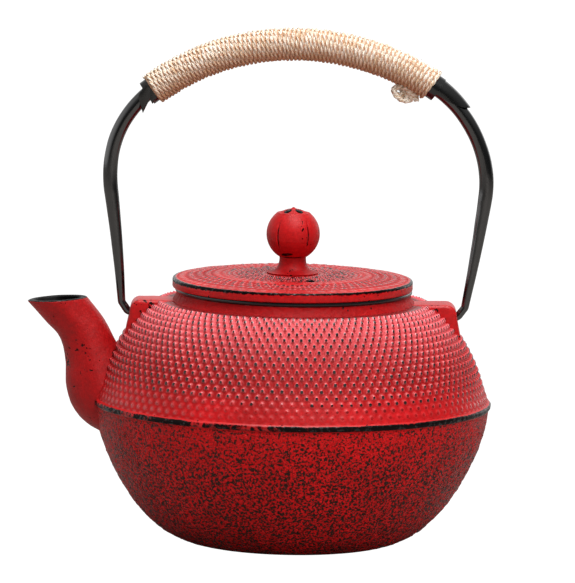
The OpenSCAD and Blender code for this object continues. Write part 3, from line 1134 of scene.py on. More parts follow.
    def build(self) -> list[Piece]:
        """Makes the pot's pieces and dresses them.

        Returns:
            The pieces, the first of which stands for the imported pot.
        """
        studded = RedEnamel("red enamel, studs", Wear.STUD_TIPS, red=paint(208, 9, 18),
                            gloss=0.25, shine=0.85, relief=0.15 * MM).material()
        rough = RedEnamel("red enamel, cast skin", Wear.SPECKLED, red=paint(222, 12, 18),
                          deep=paint(186, 6, 10), iron=paint(46, 18, 9), gloss=0.45, shine=0.22,
                          grain=1.0 * MM, relief=1.5 * MM).material()
        # Painted shade: the collar under the lid gets a darker red.
        plain = RedEnamel("red enamel, collar", Wear.SPARSE, red=paint(176, 6, 10),
                          deep=paint(150, 4, 7), gloss=0.6, shine=0.2, relief=0.3 * MM).material()
        worn = RedEnamel("red enamel, worn edges", Wear.EDGES).material()
        inside = BlackIron("black enamel", 0.4).material()
        rim = BlackIron("black iron, rim", 0.22).material()
        core = MeshMaker("pot_wall").add(self.core()).build([plain, inside, rim], 40.0)
        top = MeshMaker("pot_hobnails").add(self.hobnails()).build([studded])
        bottom = MeshMaker("pot_skin").add(self.rough_skin()).build([rough])
        band = MeshMaker("pot_waist_band").add(self.band()).build([worn])
        return [core, top, bottom, band]


@dataclass
class Spout:
    """Cast spout: oval sections between an under edge and an upper edge in the X-Z plane."""

    under: tuple = ((-114.4, 102.7), (-107, 94.4), (-100.4, 87), (-97.9, 77.5),
                    (-97.4, 66.5), (-94, 56.5), (-86, 48.8), (-72, 43))
    over: tuple = ((-88.8, 104.7), (-84.6, 99.6), (-80.9, 94.6), (-77.2, 87.5),
                   (-73, 80), (-70, 73), (-68, 66), (-66, 60))
    half_w: tuple = (10.6, 9.9, 10, 11.2, 13, 15, 17, 18)
    wall: float = 3.0 * MM
    lip_h: float = 0.5 * MM
    lip_rows: int = 5
    stations: int = 90
    sides: int = 72

    def rings(self, t: Array, inset: Array) -> Array:
        """Sections at stations t: an oval with a soft arris along each side, drawn in by inset.

        Args:
            t: Station of each ring, 0 at the mouth.
            inset: How far each ring is drawn in.

        Returns:
            Points as rings x sides x 3.
        """
        a, b = through(self.under, t) * MM, through(self.over, t) * MM
        width = through(self.half_w, t) * MM
        mid, half = (a + b) / 2, (b - a) / 2
        reach = np.linalg.norm(half, axis=1)
        w = np.arange(self.sides) * TAU / self.sides
        arris = 1 + 0.035 * np.exp(-((np.abs(np.sin(w)) - 1) / 0.035) ** 2)
        in_x = ((reach - inset) / reach)[:, None] * np.cos(w)
        in_y = (width - inset)[:, None] * np.sin(w) * arris
        return np.stack([mid[:, :1] + half[:, :1] * in_x, in_y, mid[:, 1:] + half[:, 1:] * in_x], -1)

    def build(self) -> Piece:
        """Makes the spout as one closed skin: outside, rounded lip, channel.

        Returns:
            The spout.
        """
        t = np.linspace(0, 1, self.stations)
        outside = self.rings(t, np.zeros_like(t))
        channel = self.rings(t, np.full_like(t, self.wall))
        turn = np.linspace(0, math.pi, self.lip_rows + 2)[1:-1]
        lip = self.rings(np.zeros(self.lip_rows), self.wall / 2 * (1 - np.cos(turn)))
        lip = lip + np.array([-0.1, 0.0, 1.0]) * (self.lip_h * np.sin(turn))[:, None, None]
        rough = lumps(outside, ((1.6 * MM, 0.06 * MM), (6 * MM, 0.12 * MM)), 21)
        middle = outside.mean(axis=1, keepdims=True)
        away = outside - middle
        outside = outside + away / np.linalg.norm(away, axis=-1, keepdims=True) * rough[..., None]
        points = capped(np.concatenate([outside[::-1], lip, channel]))
        slots = np.zeros((len(points) - 1, self.sides), int)
        slots[self.stations + 2:] = 1
        edge = np.zeros(points.shape[:2])
        edge[self.stations + 1: self.stations + 1 + self.lip_rows] = 0.9
        arris = np.exp(-((np.abs(np.sin(np.arange(self.sides) * TAU / self.sides)) - 1) / 0.012) ** 2)
        edge[1: self.stations - 2] = 0.34 * arris
        return MeshMaker("pot_spout").add(Patch(points, None, {"rub": edge}, slots)).build([
            RedEnamel("red enamel, spout", Wear.EDGES, red=paint(176, 6, 10), deep=paint(146, 4, 6),
                      gloss=0.5, shine=0.3, relief=0.2 * MM, chips=0.36).material(),
            BlackIron("black enamel, spout", 0.5, paint(6, 5, 5), index=1.25).material()])


@dataclass
class Lugs:
    """Two wedge lugs that carry the bail."""

    face_x: float = 70.2 * MM
    top_z: float = 105.0 * MM
    hinge_z: float = 99.0 * MM
    collar_r: float = 51.6 * MM
    width: float = 17.0 * MM
    corner_r: float = 4.4 * MM
    rounding: float = 1.6 * MM

    def outline(self) -> Array:
        """Side outline in the X-Z plane, with a rounded upper outer corner.

        Returns:
            X and Z of each point.
        """
        a = np.linspace(math.pi / 2, 0.15, 9)
        corner = np.stack([self.face_x - self.corner_r + self.corner_r * np.cos(a),
                           self.top_z - self.corner_r + self.corner_r * np.sin(a)], 1)
        foot_x, foot_z = self.face_x + 3.1 * MM, 86 * MM
        inner = self.collar_r - 2 * MM
        return np.concatenate([[[inner, 98 * MM], [inner, self.top_z - 0.3 * MM]], corner,
                               [[self.face_x + 0.2 * MM, self.hinge_z + 0.6 * MM], [foot_x, foot_z],
                                [foot_x - 14 * MM, foot_z]]])

    def _solid(self, side: float) -> Patch:
        """Rounded extrusion: the outline drawn in along quarter circles at both ends.

        Args:
            side: 1 for the lug at +X, -1 for the one at -X.

        Returns:
            The closed patch.
        """
        line = resample(np.concatenate([self.outline(), self.outline()[:1]]), 97)[:-1]
        tangent = np.roll(line, -1, 0) - np.roll(line, 1, 0)
        tangent /= np.linalg.norm(tangent, axis=1, keepdims=True)
        inward = np.stack([tangent[:, 1], -tangent[:, 0]], 1)
        a = np.linspace(0, math.pi / 2, 6)
        y = np.concatenate([-self.width / 2 + self.rounding * (1 - np.cos(a)), [0.0],
                            self.width / 2 - self.rounding * (1 - np.cos(a[::-1]))])
        pull = self.rounding * np.concatenate([1 - np.sin(a), [0.0], (1 - np.sin(a))[::-1]])
        shape = line[None] + inward[None] * pull[:, None, None]
        depth = np.broadcast_to(side * y[:, None], shape.shape[:2])
        grid = np.stack([side * shape[..., 0], depth, shape[..., 1]], -1)
        ends = grid[[0, -1]].mean(axis=1)
        grid = grid + (noise(grid, 5 * MM, 31) * 0.12 * MM)[..., None] * np.array([1.0, 0.0, 1.0])
        points = capped(grid, ends)
        return Patch(points, None, {"rub": np.full(points.shape[:2], 0.06)})

    def build(self) -> Piece:
        """Makes both lugs as one piece.

        Returns:
            The lugs.
        """
        maker = MeshMaker("pot_lugs")
        for side in (1.0, -1.0):
            maker.add(self._solid(side))
        return maker.build([RedEnamel("red enamel, lugs", Wear.EDGES).material()])


# ------------------------------ lid and knob


@dataclass
class Lid:
    """Cast lid: three rows of studs, a smooth raised ring and a finer dotted middle."""

    radius: float = 51.8 * MM
    seat_z: float = 110.4 * MM
    edge_h: float = 4.0 * MM
    rise: float = 2.4 * MM
    plate_t: float = 3.4 * MM
    skirt_r: float = 46.2 * MM
    skirt_t: float = 3.0 * MM
    skirt_drop: float = 4.6 * MM
    outer_rows: tuple = (43.7, 39.9, 36.3)
    inner_rows: tuple = (25.2, 23.1, 21.0, 18.9, 16.8, 14.7)
    outer_count: int = 60
    inner_count: int = 60
    stud_h: float = 0.85 * MM
    fine_h: float = 0.5 * MM
    columns: int = 480
    shift: float = -0.5 * MM
    vent_d: float = 4.0 * MM
    vent_at: float = 24.5 * MM
    vent_turn: float = -72.0

    @property
    def edge_z(self) -> float:
        """Height of the top of the lid's straight edge."""
        return self.seat_z + self.edge_h

    @property
    def top_z(self) -> float:
        """Height of the lid's top at the knob's foot."""
        return self.edge_z + self.rise

    def _top(self) -> Array:
        """Outline of the top from the edge to the middle, sampled finely where there are studs.

        Returns:
            Radius and height of each point.
        """
        e = self.edge_z / MM
        knots = np.array([[51.0, e + 0.1], [48.0, e + 0.5], [45.6, e + 0.65], [44.8, e + 0.75],
                          [35.4, e + 1.25], [34.4, e + 1.65], [33.2, e + 1.95], [28.6, e + 2.0],
                          [27.4, e + 1.85], [26.4, e + 1.75], [12.0, e + 2.35], [0.0, e + 2.4]])
        radius = np.concatenate([np.linspace(51.0, 45.6, 6)[:-1], np.arange(45.6, 26.4, -0.5),
                                 np.arange(26.4, 12.0, -0.5), [11.0, 6.0, 0.0]])
        height = np.interp(-radius, -knots[:, 0], knots[:, 1])
        return np.stack([radius, height], 1) * MM

    def _bumps(self, radius: Array, rows: Sequence[float], count: int, height: float,
               first: int) -> tuple[Array, Array, Array]:
        """Rings of cones on staggered points.

        Args:
            radius: Radius of each row of points.
            rows: Radii of the rings in millimetres.
            count: Studs in each ring.
            height: Height of a stud.
            first: Number of the first ring, whose parity sets the stagger.

        Returns:
            The relief, the texture row of each radius and the strength there.
        """
        rings = np.array(rows) * MM
        gap = float(abs(rings[1] - rings[0]))
        turn = np.arange(self.columns) * count / self.columns
        relief = np.zeros((len(radius), self.columns))
        for k, ring in enumerate(rings):
            off = turn + 0.5 * ((first + k) % 2)
            cell = TAU * ring / count
            across = (off - np.round(off)) * cell
            reach = 0.52 * min(cell, gap * 1.15)
            cone = np.clip(1 - np.hypot(across[None], (radius - ring)[:, None]) / reach, 0, 1)
            relief = np.maximum(relief, cone * (0.6 if k == 0 else 1.0))
        v = first + np.interp(-radius, -rings, np.arange(len(rings)), left=-0.49, right=len(rings) - 0.51)
        outside = np.clip(np.maximum(radius - rings[0], rings[-1] - radius) / (gap * 0.5), 0, 2)
        v = np.where(radius > rings[0], first - (radius - rings[0]) / gap, v)
        v = np.where(radius < rings[-1], first + len(rings) - 1 + (rings[-1] - radius) / gap, v)
        return relief * height, v, 1 - smooth(0.8, 1.3, outside)

    def plate(self) -> Patch:
        """The lid as one closed shell: underside and skirt, straight edge, top with its studs.

        Returns:
            The closed patch.
        """
        under_z, seat = self.top_z - self.plate_t, self.seat_z
        inner = self.skirt_r - self.skirt_t
        low = seat - self.skirt_drop
        below = np.array([
            [0.0, under_z], [12 * MM, under_z],
            [inner - 1 * MM, under_z - 0.8 * MM], [inner, under_z - 1.6 * MM],
            [inner, low + 0.3 * MM], [inner + 0.3 * MM, low], [self.skirt_r - 0.7 * MM, low],
            [self.skirt_r, low + 0.8 * MM], [self.skirt_r, seat - 0.05 * MM], [self.skirt_r + 0.1 * MM, seat],
            [self.radius - 0.5 * MM, seat], [self.radius - 0.12 * MM, seat + 0.14 * MM],
            [self.radius, seat + 0.5 * MM], [self.radius - 0.05 * MM, seat + 2 * MM],
            [self.radius, self.edge_z - 0.75 * MM], [self.radius - 0.1 * MM, self.edge_z - 0.35 * MM],
            [self.radius - 0.4 * MM, self.edge_z - 0.05 * MM],
        ])
        top = self._top()
        outline = np.concatenate([below, top])
        points = revolve(outline, self.columns)
        radius = top[:, 0]
        coarse, v_out, s_out = self._bumps(radius, self.outer_rows, self.outer_count, self.stud_h, 0)
        fine, v_in, s_in = self._bumps(radius, self.inner_rows, self.inner_count, self.fine_h, 10)
        start = len(below)
        points[start:, :, 2] += coarse + fine
        middle = points[start:]
        keep = smooth(1 * MM, 8 * MM, radius)[:, None]
        points[start:, :, 2] += keep * lumps(middle, ((1.4 * MM, 0.05 * MM), (6 * MM, 0.07 * MM)), 41)
        is_fine = radius < 30 * MM
        count = np.where(is_fine, self.inner_count, self.outer_count)
        u = np.arange(self.columns + 1)[None, :] * count[:, None] / self.columns
        v = np.where(is_fine, v_in, v_out)[:, None] + 0.0 * u
        blank = np.full((start, self.columns + 1), NO_ROW)
        uv = np.stack([np.concatenate([blank, u]), np.concatenate([blank, v])], -1)
        strength = np.where(is_fine, s_in, s_out)
        stud = np.concatenate([np.zeros(start), strength])[:, None] * np.ones((1, self.columns))
        rub = self._edge_wear(outline)
        rub[start:] += (smooth(31 * MM, 27 * MM, radius) * smooth(10 * MM, 12 * MM, radius))[:, None]
        slots = np.zeros((len(outline) - 1, self.columns), int)
        slots[:10] = 1
        slots[10: start + 1] = 2
        return Patch(points, uv, {"stud": stud, "rub": rub, "bare": np.ones_like(stud)}, slots)

    def _edge_wear(self, outline: Array) -> Array:
        """Wear of the rim: strong on the top outer corner, slight elsewhere.

        Args:
            outline: Radius and height of each row.

        Returns:
            Wear as rows x columns.
        """
        corner = np.hypot(outline[:, 0] - self.radius, outline[:, 1] - self.edge_z)
        turn = np.arange(self.columns) * TAU / self.columns
        width = (0.75 + 0.25 * np.abs(np.cos(turn)) + 0.35 * np.maximum(0, -np.cos(turn))) * MM
        return 0.05 + 1.1 * np.exp(-((corner[:, None] / width) ** 2))

    def build(self) -> Piece:
        """Makes and dresses the lid.

        Returns:
            The lid.
        """
        # Painted shade between the lid's studs and a painted highlight above their tips.
        top = RedEnamel("red enamel, lid studs", Wear.STUD_TIPS, cell_across=3.6 * MM, cell_up=3.2 * MM,
                        tip=0.68 * MM, drop=0.15 * MM, gloss=0.26, shine=0.7, relief=0.5 * MM,
                        valley_shade=paint(152, 5, 9), cap=0.95, lighter=0.0).material()
        side = RedEnamel("red enamel, lid edge", Wear.EDGES, red=paint(206, 8, 14), iron=paint(7, 6, 6),
                         gloss=0.34, shine=0.3).material()
        under = BlackIron("black enamel, lid underside", 0.45).material()
        lid = MeshMaker("lid_casting").add(self.plate()).build([top, under, side], 60.0)
        self._drill(lid, under)
        lid.data.transform(Matrix.Translation((self.shift, 0.0, 0.0)))
        return lid

    def _drill(self, lid: Piece, inside: bpy.types.Material) -> None:
        """Cuts the vent through the lid with a cylinder that is thrown away afterwards.

        Args:
            lid: The lid to cut.
            inside: Finish of the vent's wall.
        """
        turn = math.radians(self.vent_turn)
        place = Vector((self.vent_at * math.cos(turn), self.vent_at * math.sin(turn), self.seat_z + 5 * MM))
        work = bmesh.new()
        bmesh.ops.create_cone(work, cap_ends=True, segments=32, radius1=self.vent_d / 2,
                              radius2=self.vent_d / 2, depth=10 * MM, matrix=Matrix.Translation(place))
        mesh = bpy.data.meshes.new("vent")
        work.to_mesh(mesh)
        work.free()
        mesh.materials.append(inside)
        drill = placed("vent", mesh)
        cut = lid.modifiers.new("vent", "BOOLEAN")
        cut.operation, cut.solver = "DIFFERENCE", "EXACT"
        cut.object, cut.material_mode = drill, "TRANSFER"
        bpy.context.view_layer.update()
        whole = bpy.data.meshes.new_from_object(lid.evaluated_get(bpy.context.evaluated_depsgraph_get()))
        lid.modifiers.clear()
        lid.data = whole
        bpy.data.objects.remove(drill)


@dataclass
class Knob:
    """Hollow ball with five creases and a flower of five oval openings, on a flared neck."""

    ball_r: float = 11.5 * MM
    ball_z: float = 133.9 * MM
    wall: float = 2.2 * MM
    neck_r: float = 5.7 * MM
    foot_r: float = 11.1 * MM
    foot_h: float = 0.5 * MM
    seat_z: float = 116.8 * MM
    lobes: int = 5
    crease: float = 0.7 * MM
    ledge_angle: float = 37.0
    petal_angle: float = 21.0
    petal_long: float = 11.5
    petal_wide: float = 7.8
    columns: int = 360
    rows: int = 120
    stem_columns: int = 144
    lowest: float = 152.0
    shift: float = -0.65 * MM

    def _middle(self, turn: Array) -> Array:
        """Angle round the axis of the petal nearest to each turn, in degrees."""
        step = 360.0 / self.lobes
        return step * (np.floor(turn / step) + 0.5)

    def _petal(self, polar: Array, turn: Array) -> tuple[Array, Array, Array]:
        """Oval distance from the nearest petal's centre, with the two offsets that make it up.

        Args:
            polar: Angle from the top in degrees.
            turn: Angle round the axis in degrees, 0 between the two front petals.

        Returns:
            Squared distance (1 on the rim), offset along the meridian, offset across it.
        """
        along = (polar - self.petal_angle) / self.petal_long
        narrow = 1.0 - 0.28 * np.clip(-along, -1, 1)
        across = (turn - self._middle(turn)) * np.sin(np.radians(polar)) / (self.petal_wide * narrow)
        return along**2 + across**2, along, across

    def _surface(self, polar: Array, turn: Array) -> Array:
        """Ball with a narrow crease below each petal, a sunk flower inside a ledge and a small peak.

        Args:
            polar: Angle from the top in degrees.
            turn: Angle round the axis in degrees.

        Returns:
            The points.
        """
        off = np.radians(turn - self._middle(turn)) * np.sin(np.radians(polar)) * self.ball_r
        fade = smooth(52, 72, polar) * (1 - smooth(112, 128, polar))
        radius = self.ball_r - self.crease * fade * np.exp(-((off / (0.36 * MM)) ** 2))
        radius = radius + 0.10 * MM * np.exp(-(((polar - self.ledge_angle - 1) / 1.8) ** 2))
        radius = radius - 0.45 * MM * smooth(self.ledge_angle, self.ledge_angle - 5, polar)
        radius = radius - 0.15 * MM * smooth(31, 10, polar) + 0.65 * MM * np.exp(-((polar / 4.5) ** 2))
        radius = radius + 0.05 * MM * np.exp(-(((polar - 102) / 1.6) ** 2))
        a, b = np.radians(polar), np.radians(turn) - math.pi / 2
        return np.stack([radius * np.sin(a) * np.cos(b), radius * np.sin(a) * np.sin(b),
                         self.ball_z + radius * np.cos(a)], -1)

    def _wear_and_shade(self, polar: Array, turn: Array) -> Array:
        """Wear of the ball's opening rims, peak and one chip above the neck, and painted shade in creases and
        at the neck.

        Args:
            polar: Angle from the top in degrees.
            turn: Angle round the axis in degrees.

        Returns:
            Wear at each point.
        """
        near = np.exp(-((np.sqrt(np.maximum(self._petal(polar, turn)[0], 0)) - 1) / 0.16) ** 2)
        front = (turn + 180.0) % 360.0 - 180.0
        chip = np.exp(-(((polar - 136 + 0.1 * (front + 20)) / 4.5) ** 2) - ((front + 20) / 17) ** 2)
        off = (turn - self._middle(turn)) * np.sin(np.radians(polar))
        # Painted shade: dark lines in the creases and, at the front, where the ball meets the neck.
        groove = np.exp(-((off / 2.0) ** 2)) * smooth(60, 74, polar) * (1 - smooth(106, 122, polar))
        neck = smooth(142, 147, polar) * (1 - smooth(20, 60, np.abs(front)))
        return 0.04 + 0.36 * near + 1.6 * chip + 0.75 * groove + 0.7 * neck

    def ball(self) -> Piece:
        """Shell of the ball: a polar grid without its petals' faces, whose rims are drawn to true ovals.

        Returns:
            The ball, thickened inwards, with a peak closed by a fan of triangles.
        """
        polar, turn = np.meshgrid(np.linspace(0.6, self.lowest, self.rows),
                                  np.arange(self.columns) * 360.0 / self.columns, indexing="ij")
        size, _, _ = self._petal(polar, turn)
        quads = ring_quads(self.rows, self.columns)
        gone = (size < 1.0).reshape(-1)[quads].sum(axis=1) >= 2
        kept = quads[~gone]
        rim = np.zeros(polar.size, bool)
        rim[np.intersect1d(quads[gone].ravel(), kept.ravel())] = True
        rim = rim.reshape(polar.shape)
        centre_turn = self._middle(turn)
        scale = 1.0 / np.sqrt(np.maximum(size, 1e-6))
        new_polar = np.where(rim, self.petal_angle + (polar - self.petal_angle) * scale, polar)
        new_turn = np.where(rim, centre_turn + (turn - centre_turn) * scale, turn)
        points = self._surface(new_polar, new_turn).reshape(-1, 3)
        top = len(points)
        points = np.concatenate([points, self._surface(np.zeros(1), np.zeros(1))])
        first = np.arange(self.columns)
        fan = np.stack([(first + 1) % self.columns, first, np.full(self.columns, top)], 1)
        faces = kept[:, ::-1].tolist() + fan.tolist()
        mesh = bpy.data.meshes.new("knob_ball")
        mesh.from_pydata(points.tolist(), [], faces)
        rub = np.concatenate([self._wear_and_shade(new_polar, new_turn).reshape(-1), [0.5]])
        mesh.attributes.new("rub", "FLOAT", "POINT").data.foreach_set("value", rub.astype(np.float32))
        mesh.uv_layers.new(name="surface")
        work = bmesh.new()
        work.from_mesh(mesh)
        bmesh.ops.delete(work, geom=[v for v in work.verts if not v.link_faces], context="VERTS")
        bmesh.ops.recalc_face_normals(work, faces=work.faces)
        work.to_mesh(mesh)
        work.free()
        mesh.polygons.foreach_set("use_smooth", np.ones(len(mesh.polygons), bool))
        made = placed("knob_ball", mesh)
        finish = RedEnamel("red enamel, knob", Wear.EDGES, red=paint(192, 7, 12), deep=paint(166, 4, 8),
                           iron=paint(34, 6, 6), gloss=0.5, shine=0.3)
        mesh.materials.append(finish.material())
        mesh.materials.append(BlackIron("black iron, knob inside", 0.45).material())
        shell = made.modifiers.new("wall", "SOLIDIFY")
        shell.thickness, shell.offset = self.wall, -1.0
        shell.material_offset, shell.material_offset_rim = 1, 1
        return made

    def stem(self) -> Piece:
        """Neck and foot: one curve that runs out into a thin round foot, revolved.

        Returns:
            The stem.
        """
        neck_z = self.ball_z - self.ball_r * math.cos(math.radians(180 - self.lowest)) + 0.4 * MM
        low = self.seat_z + self.foot_h
        flare = bezier([[self.foot_r, low], [self.neck_r + 1.2 * MM, low + 0.5 * MM],
                        [self.neck_r, low + 2.2 * MM], [self.neck_r, neck_z]], np.linspace(0, 1, 26))
        outline = np.concatenate([
            [[0, self.seat_z], [self.foot_r - 0.5 * MM, self.seat_z],
             [self.foot_r - 0.1 * MM, self.seat_z + 0.1 * MM], [self.foot_r, self.seat_z + 0.3 * MM]],
            flare, [[self.neck_r * 0.97, neck_z + 0.8 * MM], [0, neck_z + 0.8 * MM]]])
        points = revolve(outline, self.stem_columns)
        near = np.exp(-(((outline[:, 1] - neck_z) / (0.7 * MM)) ** 2))
        rub = (0.04 + 0.4 * near)[:, None] * np.ones((1, self.stem_columns))
        finish = RedEnamel("red enamel, knob stem", Wear.EDGES, red=paint(186, 7, 12), deep=paint(150, 4, 8),
                           gloss=0.55, shine=0.25)
        return MeshMaker("knob_stem").add(Patch(points, None, {"rub": rub})).build([finish.material()], 50.0)

    def build(self) -> list[Piece]:
        """Makes the knob's two pieces.

        Returns:
            Ball and stem.
        """
        pieces = [self.ball(), self.stem()]
        for piece in pieces:
            piece.data.transform(Matrix.Translation((self.shift, 0.0, 0.0)))
        return pieces


# ------------------------------ bail and grip


@dataclass
class Bail:
    """Bent steel bar: pin, bend, tapered leg, shoulder arc and the arc under the grip."""

    face_x: float = 70.2 * MM
    hinge_z: float = 99.0 * MM
    top_z: float = 215.9 * MM
    half_w: float = 80.95 * MM
    arc_r: float = 105.5 * MM
    half_angle: float = 35.0
    lean: float = 7.8
    bar_d: float = 6.2 * MM
    hook_d: float = 3.4 * MM
    bend_r: float = 2.0 * MM
    slope: float = 55.0
    pin_in: float = 5.0 * MM
    sleeve_d: float = 11.0 * MM
    sleeve_gap: float = 0.2 * MM
    sleeve_ends: tuple = (-37.6, 35.2)
    seam: float = 0.18
    sheet: float = 0.45 * MM
    sway: tuple = (-0.2, 0.7, 1.2, 1.1, 0.3, -0.3, -1.7)
    tip_up: float = 0.012
    sway_step: float = 20.0 * MM
    sides: int = 40
    flap: tuple = (60.0, 79.0, 5.3, 4.5)
    flap_turn: float = 1.9
    tongues: tuple = (
        (((-65.7, -5.5, 197.7), (-68.3, -4.9, 192.6), (-66.2, -3.6, 185.3)),
         ((-62.6, -5.7, 196.4), (-63.3, -5.0, 191.4), (-66.1, -3.6, 185.3))),
        (((-63.2, -5.6, 195.9), (-63.1, -5.2, 191.3), (-62.1, -4.6, 189.4)),
         ((-60.1, -5.6, 195.2), (-60.4, -5.2, 191.9), (-62.1, -4.6, 189.4))),
    )

    @property
    def centre_z(self) -> float:
        """Height of the centre of the grip's arc."""
        return self.top_z - self.arc_r

    def _swayed(self, points: Array) -> Array:
        """Points moved by the slight bend that use has put into the bail.

        Args:
            points: Places on the bail.

        Returns:
            The places moved along X by a smooth curve over their height, and raised near the top in
            proportion to X.
        """
        share = np.clip((points[..., 2] - self.hinge_z) / (self.sway_step * (len(self.sway) - 1)), 0, 1)
        moved = points.copy()
        moved[..., 0] += through(self.sway, share) * MM
        moved[..., 2] += self.tip_up * smooth(0.5, 0.95, share) * points[..., 0]
        return moved

    def half_path(self) -> tuple[Array, Array]:
        """Centre line of the right-hand half from the pin to the top.

        The line runs through the low bend, a short slope, the high bend, the leg, the shoulder arc
        and half of the grip's arc; the leg's foot is where its line meets the slope's.

        Returns:
            Points of the line in the X-Z plane, and the bar's radius at each of them.
        """
        a, lean, slope = (math.radians(v) for v in (self.half_angle, self.lean, self.slope))

        def arc(centre: Array, r: float, start: float, end: float, count: int) -> Array:
            """Points on an arc from one angle above +X to another."""
            w = np.linspace(start, end, count)
            return centre + r * np.stack([np.cos(w), np.sin(w)], 1)

        shoulder_r = (self.half_w - self.arc_r * math.sin(a)) / (1 - math.sin(a))
        gap = self.arc_r - shoulder_r
        centre = np.array([gap * math.sin(a), self.centre_z + gap * math.cos(a)])
        leg_way = np.array([math.sin(lean), math.cos(lean)])
        slope_way = np.array([math.cos(slope), math.sin(slope)])
        leg_top = centre + shoulder_r * np.array([math.cos(lean), -math.sin(lean)])
        low = np.array([self.face_x - 0.2 * MM, self.hinge_z + self.bend_r])
        low_end = low + self.bend_r * np.array([math.sin(slope), -math.cos(slope)])
        offset = self.bend_r * np.array([math.sin(slope) - math.cos(lean), math.sin(lean) - math.cos(slope)])
        span = leg_top + offset - low_end
        drop = (span[0] * slope_way[1] - span[1] * slope_way[0]) / (
            leg_way[0] * slope_way[1] - leg_way[1] * slope_way[0])
        foot = leg_top - drop * leg_way
        high = foot - self.bend_r * np.array([math.cos(lean), -math.sin(lean)])
        pin = np.array([[low[0] - self.pin_in, self.hinge_z], [low[0] - self.pin_in / 2, self.hinge_z]])
        hook = np.concatenate([pin, arc(low, self.bend_r, -math.pi / 2, slope - math.pi / 2, 8),
                               arc(high, self.bend_r, slope - math.pi / 2, -lean, 6)])
        leg = foot + (leg_top - foot) * np.linspace(0, 1, 30)[1:-1, None]
        round_part = np.concatenate([
            arc(centre, shoulder_r, -lean, math.pi / 2 - a, 50),
            arc(np.array([0.0, self.centre_z]), self.arc_r, math.pi / 2 - a, math.pi / 2, 40)[1:]])
        thin, thick = self.hook_d / 2, self.bar_d / 2
        radius = np.concatenate([np.full(len(hook), thin), np.linspace(thin, thick, 30)[1:-1],
                                 np.full(len(round_part), thick)])
        return np.concatenate([hook, leg, round_part]), radius

    def bar(self) -> Patch:
        """The whole bar swept along its path, with slight forging marks.

        Returns:
            The closed patch.
        """
        path, radius = self.half_path()
        whole = np.concatenate([path, (path * [-1, 1])[-2::-1]])
        radii = np.concatenate([radius, radius[-2::-1]])
        line = self._swayed(np.stack([whole[:, 0], 0 * whole[:, 0], whole[:, 1]], 1))
        grid = sweep(line, np.tile(SIDEWAYS, (len(line), 1)), radii, self.sides)
        centre = line[:, None]
        grid = centre + (grid - centre) * (1 + 0.02 * noise(grid, 7 * MM, 51))[..., None]
        return Patch(capped(grid, line[[0, -1]]))

    def arc_frame(self, angle: Array) -> tuple[Array, Array, Array]:
        """Centre, outward direction and heading on the grip's arc at an angle from its top.

        Args:
            angle: Angles in radians, positive towards +X.

        Returns:
            Three arrays of vectors.
        """
        zero = np.zeros_like(angle)
        outward = np.stack([np.sin(angle), zero, np.cos(angle)], -1)
        heading = np.stack([np.cos(angle), zero, -np.sin(angle)], -1)
        centre = self._swayed(outward * self.arc_r + np.array([0, 0, self.centre_z]))
        return centre, outward, heading

    def sleeve(self) -> Patch:
        """Sheet folded round the bar: a tube with thin walls, rolled ends and an open seam underneath.

        Returns:
            The closed patch.
        """
        angle = np.linspace(*np.radians(self.sleeve_ends), 90)
        centre, outward, _ = self.arc_frame(angle)
        inner, outer = self.bar_d / 2 + self.sleeve_gap, self.sleeve_d / 2
        w = np.linspace(math.pi + self.seam, 3 * math.pi - self.seam, 60)
        turn = np.stack([np.cos(w), np.sin(w)], 1)
        section = np.concatenate([outer * turn, inner * turn[::-1]])
        flat = (inner + outer) / 2 * np.concatenate([turn, turn[::-1]])

        def rings(shape: Array, rows: slice) -> Array:
            """The shape set square to the arc at some of its places."""
            return centre[rows, None] + shape[:, :1] * outward[rows, None] + shape[:, 1:] * SIDEWAYS

        return Patch(np.concatenate([rings(flat, slice(0, 1)), rings(section, slice(None)),
                                     rings(flat, slice(-1, None))]))

    def loose_end(self) -> Patch:
        """Rest of the folded sheet at the +X end: a strip round the bar's outer side that ends bluntly.

        Returns:
            The closed patch.
        """
        start, end, near, far = (v * MM for v in self.flap)
        path = self.half_path()[0][::-1]
        walked = np.concatenate([[0.0], np.cumsum(np.linalg.norm(np.diff(path, axis=0), axis=1))])
        t = np.linspace(0.0, 1.0, 24)
        x, z = (np.interp(start + (end - start) * t, walked, path[:, k]) for k in (0, 1))
        centre = self._swayed(np.stack([x, 0 * x, z], 1))
        heading = np.gradient(centre, axis=0)
        heading /= np.linalg.norm(heading, axis=1, keepdims=True)
        outward = np.stack([-heading[:, 2], 0 * x, heading[:, 0]], 1)
        w = (self.flap_turn * np.sqrt(1.0 - t**3) + 0.02)[:, None] * np.linspace(-1, 1, 15)[None]
        reach = (near + (far - near) * t)[:, None] + 0 * w
        r = np.concatenate([reach, reach - self.sheet], 1)
        w = np.concatenate([w, w[:, ::-1]], 1)
        grid = centre[:, None] + (r * np.cos(w))[..., None] * outward[:, None]
        return Patch(capped(grid + (r * np.sin(w))[..., None] * SIDEWAYS))

    def tongue(self, first: Sequence[Sequence[float]], second: Sequence[Sequence[float]]) -> Patch:
        """Pointed end of the folded sheet at the -X end: a thin solid between two edges.

        Args:
            first: Points of one edge, from the root to the point, in millimetres.
            second: Points of the other edge.

        Returns:
            The closed solid.
        """
        t = np.linspace(0.0, 1.0, 12)
        a, b = (np.stack([np.interp(t, (0, 0.5, 1), np.array(edge)[:, k]) for k in range(3)], 1)
                for edge in (first, second))
        share = np.linspace(0, 1, 7)[None, :, None]
        front = (a[:, None] * (1 - share) + b[:, None] * share) * MM
        front[..., 1] -= 0.5 * MM * np.sin(math.pi * share[..., 0])
        return Patch(capped(np.concatenate([front, front[:, ::-1] + self.sheet * SIDEWAYS], 1)))

